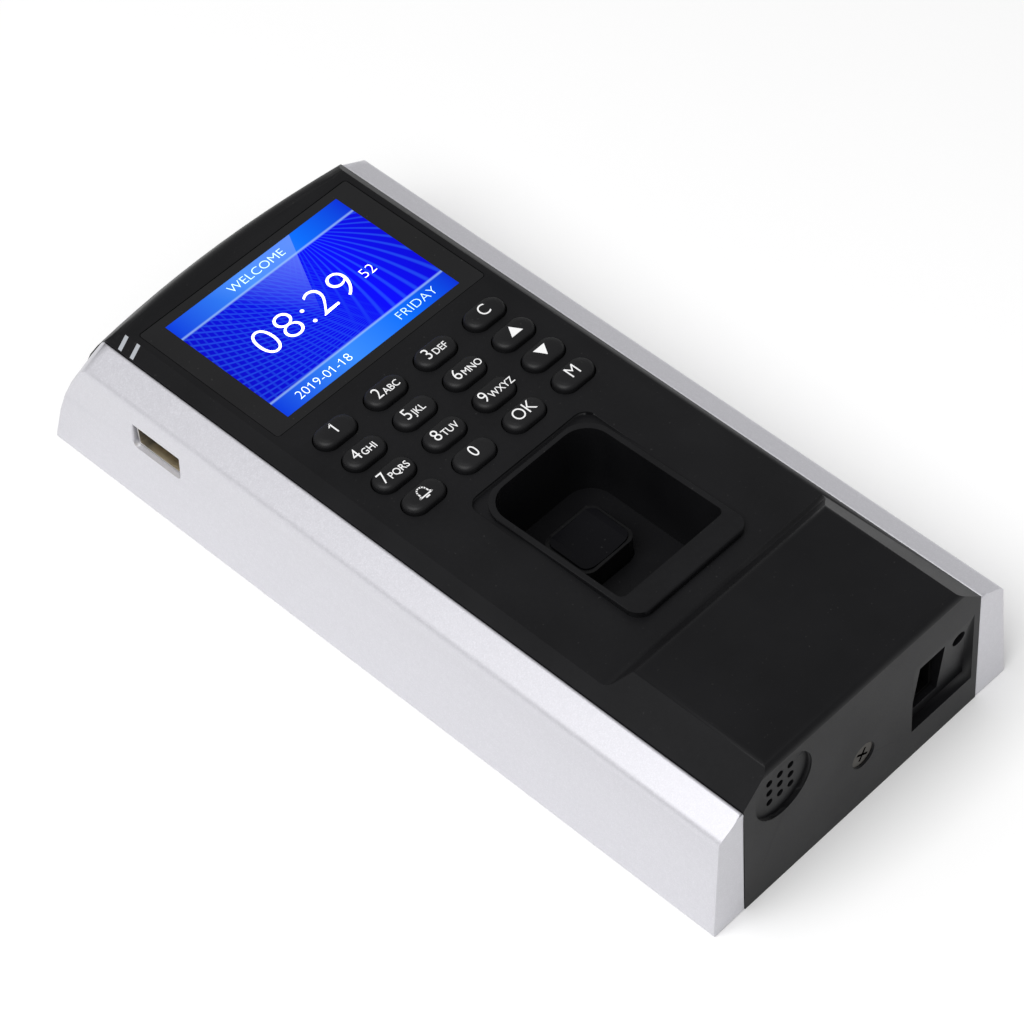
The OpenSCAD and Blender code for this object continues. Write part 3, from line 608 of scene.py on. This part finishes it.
@dataclass
class Skin:
    """A finished copy of a CAD node, with clean faces and softened edges, that stands for the node."""

    node: str
    body: str = MAIN_BODY
    edge: float = 0.0
    angle: float = 30.0
    segments: int = 3
    flat: bool = False
    long_edge: float = 4.0 * MM

    def build(self, source: Piece, material: bpy.types.Material) -> Piece:
        """Copy, clean and dress the node.

        Args:
            source: the CAD node's object.
            material: the finish.

        Returns:
            The new piece.
        """
        bm = bmesh.new()
        bm.from_mesh(source.data)
        bmesh.ops.remove_doubles(bm, verts=bm.verts, dist=0.0005 * MM)
        bmesh.ops.dissolve_degenerate(bm, edges=bm.edges, dist=0.0005 * MM)
        bmesh.ops.dissolve_limit(bm, angle_limit=math.radians(0.4), verts=bm.verts, edges=bm.edges)
        if self.edge:
            self.mark_edges(bm)
        mesh = bpy.data.meshes.new(f"{self.node}_skin")
        bm.to_mesh(mesh)
        bm.free()
        mesh.materials.append(material)
        smooth(mesh, self.angle)
        piece = bpy.data.objects.new(f"{self.node}_skin", mesh)
        bpy.context.scene.collection.objects.link(piece)
        if self.edge:
            bevel = piece.modifiers.new("soft_edges", "BEVEL")
            bevel.width = self.edge
            bevel.segments = self.segments
            bevel.limit_method = "WEIGHT"
            bevel.use_clamp_overlap = False
            bevel.harden_normals = False
        if self.edge or self.flat:
            weigh = piece.modifiers.new("flat_faces", "WEIGHTED_NORMAL")
            weigh.keep_sharp = True
        link(piece, self.body)
        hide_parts(self.node)
        log.info("%s: skin over the CAD node", piece.name)
        return piece

    def mark_edges(self, bm: bmesh.types.BMesh) -> None:
        """Give the long outer edges a bevel weight of 1.

        Args:
            bm: the cleaned copy of the node's mesh.
        """
        layer = bm.edges.layers.float.new("bevel_weight_edge")
        sharp = math.radians(self.angle)
        for edge in bm.edges:
            if len(edge.link_faces) != 2 or edge.calc_length() < self.long_edge:
                continue
            if edge.calc_face_angle_signed() > sharp:
                edge[layer] = 1.0


@dataclass
class GridTree:
    """A Geometry Nodes tree that repeats a small block or disc on a grid and dresses it."""

    name: str
    columns: int
    rows: int
    pitch: tuple[float, float]
    size: tuple[float, float, float]
    origin: Vector
    round_piece: bool = False

    def build(self, material: bpy.types.Material, slot: str) -> Piece:
        """Make the repeated pieces as one plain mesh.

        Args:
            material: the finish, set inside the tree.
            slot: not used.

        Returns:
            The new piece.
        """
        tree = bpy.data.node_groups.new(self.name, "GeometryNodeTree")
        g = Graph(tree)
        group_socket(tree, "Geometry", "OUTPUT", "Geometry")
        sizes = {"Columns": ("Int", self.columns), "Rows": ("Int", self.rows),
                 "Pitch X": ("Float", self.pitch[0]), "Pitch Y": ("Float", self.pitch[1]),
                 "Piece Size": ("Vector", self.size), "Origin": ("Vector", tuple(self.origin))}
        for name, (kind, value) in sizes.items():
            group_socket(tree, name, "INPUT", kind, value)
        entry = g.node("NodeGroupInput")
        out = entry.outputs
        width = g.math("MULTIPLY", g.math("SUBTRACT", out["Columns"], 1), out["Pitch X"])
        length = g.math("MULTIPLY", g.math("SUBTRACT", out["Rows"], 1), out["Pitch Y"])
        points = g.node("GeometryNodeMeshGrid", {"Size X": width, "Size Y": length,
                                                 "Vertices X": out["Columns"], "Vertices Y": out["Rows"]})
        if self.round_piece:
            part = g.node("GeometryNodeMeshCylinder", {"Vertices": 20, "Radius": self.size[0] / 2,
                                                       "Depth": self.size[2]}).outputs[0]
        else:
            part = g.node("GeometryNodeMeshCube", {"Size": out["Piece Size"]}).outputs[0]
        copies = g.node("GeometryNodeInstanceOnPoints", {"Points": points.outputs[0], "Instance": part})
        placed = g.node("GeometryNodeTransform", {"Geometry": copies.outputs[0],
                                                  "Translation": out["Origin"]})
        real = g.node("GeometryNodeRealizeInstances", {0: placed.outputs[0]})
        dressed = g.node("GeometryNodeSetMaterial", {"Geometry": real.outputs[0], "Material": material})
        g.node("NodeGroupOutput", {"Geometry": dressed.outputs[0]})
        holder = bpy.data.objects.new(f"{self.name}_holder", bpy.data.meshes.new(f"{self.name}_holder"))
        bpy.context.scene.collection.objects.link(holder)
        modifier = holder.modifiers.new("grid", "NODES")
        modifier.node_group = tree
        for item in tree.interface.items_tree:
            if item.in_out == "INPUT":
                modifier[item.identifier] = sizes[item.name][1]
        evaluated = holder.evaluated_get(bpy.context.evaluated_depsgraph_get())
        mesh = bpy.data.meshes.new_from_object(evaluated)
        mesh.name = self.name
        bpy.data.objects.remove(holder)
        piece = bpy.data.objects.new(self.name, mesh)
        if not mesh.materials:
            mesh.materials.append(material)
        log.info("%s: %d by %d copies", self.name, self.columns, self.rows)
        return link(piece, MAIN_BODY)


@dataclass
class Lettering:
    """Flat lettering made a thin mesh: what it says, its height, and its anchor point."""

    text: str
    height: float
    at: Vector
    align: str = "CENTER"
    spacing: float = 1.0
    depth: float = 0.05 * MM
    stretch: float = 1.0
    thin: float = 0.0

    def build(self, name: str) -> Piece:
        """Make the lettering, flat in the XY plane, with its anchor at `at`."""
        curve = bpy.data.curves.new(name, "FONT")
        curve.body = self.text
        curve.size = self.height / CAP_HEIGHT
        curve.space_character = self.spacing
        curve.align_x = self.align
        curve.align_y = "CENTER"
        curve.extrude = self.depth
        curve.offset = -self.thin * self.height
        curve.resolution_u = 6
        flat = bpy.data.objects.new(name, curve)
        bpy.context.scene.collection.objects.link(flat)
        mesh = bpy.data.meshes.new_from_object(flat.evaluated_get(bpy.context.evaluated_depsgraph_get()))
        bpy.data.objects.remove(flat)
        mesh.transform(Matrix.Translation(self.at) @ Matrix.Diagonal((self.stretch, 1.0, 1.0, 1.0)))
        mesh.name = name
        piece = bpy.data.objects.new(name, mesh)
        return self.flag_ones(name, piece) if "1" in self.text else piece

    def flag_ones(self, name: str, plain: Piece) -> Piece:
        """Add the short flag at the top of each 1, which the font draws as a bare stem.

        Args:
            name: the finished piece's name.
            plain: the lettering as the font draws it.

        Returns:
            The lettering with its flags.
        """
        bm = bmesh.new()
        bm.from_mesh(plain.data)
        bmesh.ops.remove_doubles(bm, verts=bm.verts, dist=0.0002 * MM)
        waiting = set(bm.verts)
        flags = []
        while waiting:
            island = self.island(waiting)
            xs, ys = [v.co.x for v in island], [v.co.y for v in island]
            stem, tall = max(xs) - min(xs), max(ys) - min(ys)
            if stem < 0.3 * self.height and tall > 0.8 * self.height:
                top = Vector(((max(xs) + min(xs)) / 2, max(ys) - stem * 0.55, self.at.z))
                foot = top - Vector((0.24 * self.height * self.stretch, 0.2 * self.height, 0))
                flags.append(ribbon_stroke([foot, top], stem * 0.8, self.depth))
        mesh = bpy.data.meshes.new(name)
        bm.to_mesh(mesh)
        bm.free()
        bpy.data.objects.remove(plain)
        return join_meshes(name, [bpy.data.objects.new(name, mesh), *flags])

    @staticmethod
    def island(waiting: set) -> list[bmesh.types.BMVert]:
        """Take one connected set of vertices out of those that wait."""
        stack, found = [waiting.pop()], []
        while stack:
            vert = stack.pop()
            found.append(vert)
            for edge in vert.link_edges:
                other = edge.other_vert(vert)
                if other in waiting:
                    waiting.remove(other)
                    stack.append(other)
        return found


def join_meshes(name: str, parts: list[Piece]) -> Piece:
    """Join loose objects, all at the origin, into one new object."""
    bm = bmesh.new()
    for part in parts:
        bm.from_mesh(part.data)
        bpy.data.objects.remove(part)
    bmesh.ops.remove_doubles(bm, verts=bm.verts, dist=0.0002 * MM)
    return mesh_object(name, bm)


def ribbon_stroke(points: list[Vector], width: float, depth: float,
                  closed: bool = False) -> Piece:
    """A flat stroke of constant width along points in the XY plane, as a closed thin solid."""
    bm = bmesh.new()
    count = len(points)
    pairs = [(i, (i + 1) % count) for i in range(count if closed else count - 1)]
    for first, second in pairs:
        a, b = points[first], points[second]
        way = (b - a).normalized()
        side = Vector((-way.y, way.x, 0)) * width / 2
        tip = way * width * 0.35
        corners = [a - tip - side, b + tip - side, b + tip + side, a - tip + side]
        add_slab(bm, corners, depth)
    return mesh_object("stroke", bm)


def flat_shape(points: list[Vector], depth: float) -> Piece:
    """A thin closed solid over a convex outline in the XY plane."""
    bm = bmesh.new()
    add_slab(bm, points, depth)
    return mesh_object("shape", bm)


# ---- sub-assemblies --------------------------------------


@dataclass
class Shell:
    """The black body, its back, and the two silver rails."""

    nodes: Nodes
    rail_edge: float = 0.5 * MM

    def build(self) -> None:
        """Skin and dress every shell piece."""
        black = Moulded("shell_black", SHELL_BLACK, 0.42, wear=0.12, dust=0.04, specular=0.14).build()
        back = Moulded("cover_black", (0.012, 0.012, 0.013), 0.55, grain_scale=2500.0).build()
        silver = PearlPaint("rail_silver").build()
        Skin("front_housing", flat=True).build(self.nodes["front_housing"], black)
        Skin("rear_cover", edge=0.15 * MM).build(self.nodes["rear_cover"], back)
        for rail in ("left_rail", "right_rail"):
            Skin(rail, edge=self.rail_edge).build(self.nodes[rail], silver)


@dataclass
class Display:
    """The window, the lit picture under it, and what the picture says."""

    nodes: Nodes
    picture_w: float = 48.96 * MM
    picture_l: float = 36.72 * MM
    lift: float = 0.012 * MM
    clock_height: float = 8.2 * MM

    def build(self) -> None:
        """Build the window, the picture and its lettering."""
        low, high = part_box("display_window")
        window = DarkGlass("window_smoked", (0.0075, 0.0075, 0.0082), 0.2, 0.06, 0.0, 0.25).build()
        Skin("display_window", edge=0.12 * MM).build(self.nodes["display_window"], window)
        middle = (Vector(low) + Vector(high)) / 2
        top = high[2]
        half = Vector((self.picture_w / 2, self.picture_l / 2, 0))
        plate_low = Vector((middle.x, middle.y, top)) - half
        plate_high = Vector((middle.x, middle.y, top + self.lift)) + half
        bm = bmesh.new()
        add_box(bm, plate_low - Vector((0, 0, 0.1 * MM)), plate_high)
        picture = mesh_object("lit_picture", bm)
        dress(picture, LitPicture("picture_blue", plate_low, plate_high).build())
        link(picture, MAIN_BODY)
        self.letters(Vector((middle.x, middle.y, top + self.lift)), half)
        log.info("display: window, picture and lettering")

    def letters(self, centre: Vector, half: Vector) -> None:
        """The clock, the seconds, and the words in the two bars.

        Args:
            centre: the middle of the picture's face.
            half: half of the picture's width and length.
        """
        white = Printed("picture_white", (0.95, 0.97, 1.0), 1.0).build()
        pale = Printed("picture_pale", (0.50, 0.70, 1.0), 1.0).build()
        light = Printed("picture_light", (0.72, 0.84, 1.0), 1.0).build()
        bar_y = half.y * 0.86
        rows = [
            ("clock", "08:29", self.clock_height, (-2.6 * MM, -0.7 * MM), white, 0.028, 1.08),
            ("seconds", "52", 2.8 * MM, (14.3 * MM, -1.7 * MM), white, 0.03, 1.0),
            ("greeting", "WELCOME", 2.3 * MM, (-1.0 * MM, bar_y), pale, 0.02, 1.0),
            ("date", "2019-01-18", 2.35 * MM, (-12.0 * MM, -bar_y - 0.2 * MM), light, 0.03, 1.0),
            ("weekday", "FRIDAY", 2.4 * MM, (14.6 * MM, -bar_y), pale, 0.03, 1.0),
        ]
        for name, words, height, (x, y), finish, thin, spacing in rows:
            piece = Lettering(words, height, centre + Vector((x, y, 0)), spacing=spacing, depth=0.02 * MM,
                              thin=thin).build(f"screen_{name}")
            dress(piece, finish)
            link(piece, MAIN_BODY)


class Glyph(Enum):
    """Key legends that aren't letters."""

    UP = "up"
    DOWN = "down"
    BELL = "bell"


@dataclass
class Keypad:
    """Sixteen rubber keys with white legends."""

    nodes: Nodes
    digit_height: float = 3.15 * MM
    letter_height: float = 1.8 * MM
    narrow: float = 0.86
    digit_thin: float = 0.012
    digit_advance: float = 0.76
    letter_advance: float = 0.86
    proud: float = 0.012 * MM
    ink_depth: float = 0.05 * MM
    bell_line: float = 0.3 * MM

    LEGENDS = {
        "key_1": ("1", ""), "key_2": ("2", "ABC"), "key_3": ("3", "DEF"), "key_c": ("C", ""),
        "key_4": ("4", "GHI"), "key_5": ("5", "JKL"), "key_6": ("6", "MNO"), "key_up": (Glyph.UP, ""),
        "key_7": ("7", "PQRS"), "key_8": ("8", "TUV"), "key_9": ("9", "WXYZ"), "key_down": (Glyph.DOWN, ""),
        "key_bell": (Glyph.BELL, ""), "key_0": ("0", ""), "key_ok": ("OK", ""), "key_m": ("M", ""),
    }

    def build(self) -> None:
        """Skin each key and print its legend."""
        rubber = Moulded("key_rubber", (0.007, 0.007, 0.0078), 0.42, grain_scale=4500.0,
                         wear=0.1, dust=0.05, specular=0.22).build()
        ink = Printed("key_ink", (0.9, 0.9, 0.9)).build()
        for key, (main, side) in self.LEGENDS.items():
            body = f"{key}_body"
            Skin(key, body, angle=40.0).build(self.nodes[key], rubber)
            low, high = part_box(key)
            centre = Vector(((low[0] + high[0]) / 2, (low[1] + high[1]) / 2, high[2] + self.proud))
            parts = self.legend(main, side, centre)
            piece = join_meshes(f"{key}_legend", parts)
            dress(piece, ink)
            link(piece, body)
            log.info("%s: legend", key)

    def legend(self, main: str | Glyph, side: str, centre: Vector) -> list[Piece]:
        """The parts of one legend.

        Args:
            main: the digit, word or glyph.
            side: the small letters beside it.
            centre: the middle of the key's top.

        Returns:
            Loose objects at the origin.
        """
        if isinstance(main, Glyph):
            return self.glyph(main, centre)
        style = {"stretch": self.narrow, "thin": self.digit_thin}
        if not side:
            return [Lettering(main, self.digit_height, centre, **style).build("main")]
        advance = self.digit_advance * self.digit_height * self.narrow
        reach = advance + self.letter_advance * self.letter_height * self.narrow * len(side)
        start = Vector((centre.x - reach / 2, centre.y, centre.z))
        digit = Lettering(main, self.digit_height, start, "LEFT", **style).build("main")
        drop = (self.digit_height - self.letter_height) / 2
        place = start + Vector((advance, -drop, 0))
        letters = Lettering(side, self.letter_height, place, "LEFT", stretch=self.narrow).build("side")
        return [digit, letters]

    def glyph(self, kind: Glyph, centre: Vector) -> list[Piece]:
        """An arrow or the bell, as thin solids."""
        depth, size = self.ink_depth, self.digit_height
        if kind is not Glyph.BELL:
            way = 1 if kind is Glyph.UP else -1
            outline = [(-0.5, -0.4), (0.5, -0.4), (0.0, 0.45)]
            points = [centre + Vector((x * size * way, y * size * way, 0)) for x, y in outline]
            return [flat_shape(points, depth)]
        dome = [(-0.5, -0.28), (-0.36, -0.14)]
        dome += [(0.34 * math.cos(math.radians(a)), 0.12 + 0.34 * math.sin(math.radians(a)))
                 for a in range(180, -1, -30)]
        dome += [(0.36, -0.14), (0.5, -0.28)]
        outline = [centre + Vector((x * size, y * size, 0)) for x, y in dome]
        clapper = [centre + Vector((x * size, y * size, 0)) for x, y in ((-0.12, -0.44), (0.12, -0.44))]
        return [ribbon_stroke(outline, self.bell_line, depth, closed=True),
                ribbon_stroke(clapper, self.bell_line + 0.04 * MM, depth)]


@dataclass
class Scanner:
    """The finger well's bezel, the sensor block and its glass, and what is under them."""

    nodes: Nodes

    def build(self) -> None:
        """Skin and dress the scanner."""
        black = Moulded("bezel_black", SHELL_BLACK, 0.38, wear=0.15, dust=0.04, specular=0.14).build()
        block = Moulded("sensor_black", (0.004, 0.004, 0.0045), 0.35, grain_depth=0.006 * MM,
                        specular=0.12).build()
        glass = DarkGlass("sensor_glass", (0.003, 0.003, 0.004), 0.2, 0.15, 0.0, 0.08).build()
        Skin("scanner_bezel", edge=0.2 * MM).build(self.nodes["scanner_bezel"], black)
        Skin("sensor_body", edge=0.15 * MM).build(self.nodes["sensor_body"], block)
        Skin("sensor_window", edge=0.1 * MM).build(self.nodes["sensor_window"], glass)
        dress(self.nodes["sensor_lens"], DarkGlass("lens_glass", (0.006, 0.005, 0.01), 0.05).build())
        log.info("scanner: dressed")


@dataclass
class Ports:
    """The data port, the lower-end ports, the speaker, the status lights and the fixings."""

    nodes: Nodes

    def build(self) -> None:
        """Dress the ports and fixings."""
        bright = BareMetal("port_steel", (0.62, 0.61, 0.58), 0.25).build()
        gold = BareMetal("contact_gold", (0.83, 0.58, 0.22), 0.22).build()
        cream = Moulded("tongue_cream", (0.62, 0.50, 0.30), 0.4, wear=0.0).build()
        # Near-black and barely reflective: the socket's plastic is black, and the extra darkness is painted
        # shade for its deep opening; the reset and tamper switches use it as their own black.
        black_with_painted_shade = Moulded("socket_black_painted_shade", (0.002, 0.002, 0.002), 0.7, wear=0.0, dust=0.0,
                       specular=0.03).build()
        ivory = Moulded("header_ivory", (0.66, 0.62, 0.50), 0.45).build()
        zinc = BareMetal("plate_zinc", (0.52, 0.53, 0.55), 0.36, (900.0, 200.0, 900.0)).build()
        screw = BareMetal("screw_zinc", (0.50, 0.50, 0.50), 0.3).build()
        black_oxide = BareMetal("screw_black", (0.022, 0.018, 0.012), 0.2).build()
        frost = Moulded("light_pipe_frost", (0.38, 0.40, 0.43), 0.25, wear=0.0, coat=0.5).build()
        white = Moulded("button_white", (0.6, 0.6, 0.58), 0.4).build()
        cone = Moulded("cone_paper", (0.01, 0.01, 0.01), 0.7, grain_scale=1200.0).build()
        finishes = {
            "usb_shell": bright, "usb_contacts": gold, "connector_pins": gold, "usb_tongue": cream,
            "power_socket": black_with_painted_shade, "reset_switch": black_with_painted_shade, "tamper_switch": black_with_painted_shade, "wiring_headers": ivory,
            "wall_plate": zinc, "case_screws": screw, "small_screws": screw, "lock_screw": black_oxide,
            "light_pipes": frost, "reset_button": white, "tamper_plunger": white,
            "speaker_cone": cone, "speaker_frame": bright,
        }
        dress_all(self.nodes, finishes)


@dataclass
class Electronics:
    """Boards, chips, ribbons and the display's inner layers."""

    nodes: Nodes
    pad_size: tuple[float, float, float] = (3.2 * MM, 3.2 * MM, 0.03 * MM)
    chip_pitch: tuple[float, float] = (2.2 * MM, 2.6 * MM)
    chip_size: tuple[float, float, float] = (1.0 * MM, 0.5 * MM, 0.4 * MM)

    def build(self) -> None:
        """Dress the inner parts and add the small repeated ones."""
        board = CircuitBoard("board_green").build()
        chip = Moulded("chip_black", (0.014, 0.014, 0.014), 0.5, wear=0.2).build()
        amber = Moulded("ribbon_amber", (0.42, 0.16, 0.03), 0.25, grain_depth=0.002 * MM, coat=0.4).build()
        steel = BareMetal("lcd_steel", (0.6, 0.6, 0.6), 0.3).build()
        finishes = {
            "main_board": board, "keypad_board": board, "sensor_board": board, "port_board": board,
            "processor_chip": chip, "board_chips": chip, "coin_cell_holder": chip,
            "lcd_ribbon": amber, "keypad_ribbon": amber, "sensor_ribbon": amber,
            "lcd_frame": steel, "coin_cell": steel,
            "lcd_panel": DarkGlass("lcd_cell", (0.01, 0.012, 0.03), 0.1).build(),
            "lcd_carrier": Moulded("carrier_black", (0.02, 0.02, 0.02), 0.5).build(),
            "display_gasket": Moulded("gasket_foam", (0.03, 0.03, 0.03), 0.85, 1500.0, 0.05 * MM).build(),
            "keypad_mat": Moulded("mat_silicone", (0.03, 0.032, 0.036), 0.5, sheen=0.2).build(),
            "door_relay": Moulded("relay_blue", (0.01, 0.09, 0.42), 0.3).build(),
        }
        dress_all(self.nodes, finishes)
        self.repeats()

    def repeats(self) -> None:
        """Carbon pads under the keys, and rows of small chips on the main board."""
        carbon = Moulded("pad_carbon", (0.015, 0.015, 0.016), 0.6, wear=0.0).build()
        ceramic = Moulded("ceramic_chip", (0.20, 0.14, 0.09), 0.35).build()
        _, pads_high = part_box("keypad_board")
        first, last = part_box("key_1"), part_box("key_m")
        pitch = ((last[0][0] - first[0][0]) / 3, (first[0][1] - last[0][1]) / 3)
        centre = Vector(((first[0][0] + last[1][0]) / 2, (first[0][1] + last[1][1]) / 2, pads_high[2]))
        GridTree("contact_pads", 4, 4, pitch, self.pad_size, centre, True).build(carbon, "board")
        low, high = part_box("main_board")
        spot = Vector(((low[0] + high[0]) / 2 - 17 * MM, high[1] - 13 * MM, high[2] + 0.2 * MM))
        GridTree("small_capacitors", 6, 3, self.chip_pitch, self.chip_size, spot).build(ceramic, "chip")


@dataclass
class Studio:
    """The floor, the lights and the camera."""

    azimuth: float = -41.85
    elevation: float = 50.19
    roll: float = -5.02
    distance: float = 0.7705
    focal_px: float = 3803.0
    target: tuple[float, float, float] = (-1.46 * MM, -3.5 * MM, 15.0 * MM)
    frame_px: float = 1024.0
    sensor_mm: float = 36.0

    def build(self) -> None:
        """Set up the floor, the world, the lights and the camera."""
        self.floor()
        self.world()
        self.softbox("key_light", (-0.6, -0.08, 1.12), 1.1, 15.0)
        self.camera()
        bpy.context.scene.view_settings.view_transform = "Standard"
        log.info("studio: floor, lights and camera")

    def floor(self) -> None:
        """A wide pale floor at the object's base."""
        bm = bmesh.new()
        bmesh.ops.create_grid(bm, x_segments=1, y_segments=1, size=6.0)
        floor = mesh_object("studio_floor", bm)
        material, g, shader = new_material("floor_pale")
        cloud = g.noise(g.coords(), 3.0, 2.0)
        shade = g.ramp(cloud, [(0.0, (0.96, 0.96, 0.96)), (1.0, (0.99, 0.99, 0.99))])
        g.tree.links.new(shade, shader.inputs["Base Color"])
        shader.inputs["Roughness"].default_value = 0.6
        dress(floor, material)
        bpy.context.scene.collection.objects.link(floor)

    def world(self) -> None:
        """An even white surround."""
        world = bpy.data.worlds.new("studio_world")
        world.use_nodes = True
        back = world.node_tree.nodes["Background"]
        back.inputs[0].default_value = (1.0, 1.0, 1.0, 1.0)
        back.inputs[1].default_value = 0.45
        bpy.context.scene.world = world

    def softbox(self, name: str, at: tuple[float, float, float], size: float, power: float) -> None:
        """A square area light aimed at the object.

        Args:
            name: the light's name.
            at: where it stands.
            size: the length of its side.
            power: its power in watts.
        """
        lamp = bpy.data.lights.new(name, "AREA")
        lamp.size = size
        lamp.energy = power
        holder = bpy.data.objects.new(name, lamp)
        aim = (-Vector(at)).to_track_quat("-Z", "Y").to_matrix().to_4x4()
        holder.matrix_world = Matrix.Translation(at) @ aim
        bpy.context.scene.collection.objects.link(holder)

    def camera(self) -> None:
        """The camera at its viewing angle, rolled about its own axis."""
        az, el, roll = (math.radians(a) for a in (self.azimuth, self.elevation, self.roll))
        back = Vector((math.sin(az) * math.cos(el), -math.cos(az) * math.cos(el), math.sin(el)))
        flat_right = (-back).cross(Vector((0, 0, 1))).normalized()
        flat_up = flat_right.cross(-back)
        right = flat_right * math.cos(roll) + flat_up * math.sin(roll)
        up = flat_up * math.cos(roll) - flat_right * math.sin(roll)
        place = Matrix((right, up, back)).transposed().to_4x4()
        place.translation = Vector(self.target) + back * self.distance
        lens = bpy.data.cameras.new("studio_camera")
        lens.sensor_width = self.sensor_mm
        lens.lens = self.focal_px * self.sensor_mm / self.frame_px
        lens.clip_start = 0.01
        lens.clip_end = 20.0
        holder = bpy.data.objects.new("studio_camera", lens)
        holder.matrix_world = place
        bpy.context.scene.collection.objects.link(holder)
        bpy.context.scene.camera = holder


def clear_scene() -> None:
    """Remove everything that a fresh file starts with."""
    for obj in list(bpy.data.objects):
        bpy.data.objects.remove(obj)


def main() -> None:
    """Build every class in order."""
    logging.basicConfig(level=logging.INFO, format="%(message)s")
    clear_scene()
    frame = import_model()
    nodes = frame["nodes"]
    Studio().build()
    for assembly in (Shell, Display, Keypad, Scanner, Ports, Electronics):
        assembly(nodes).build()
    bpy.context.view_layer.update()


if __name__ == "__main__":
    main()
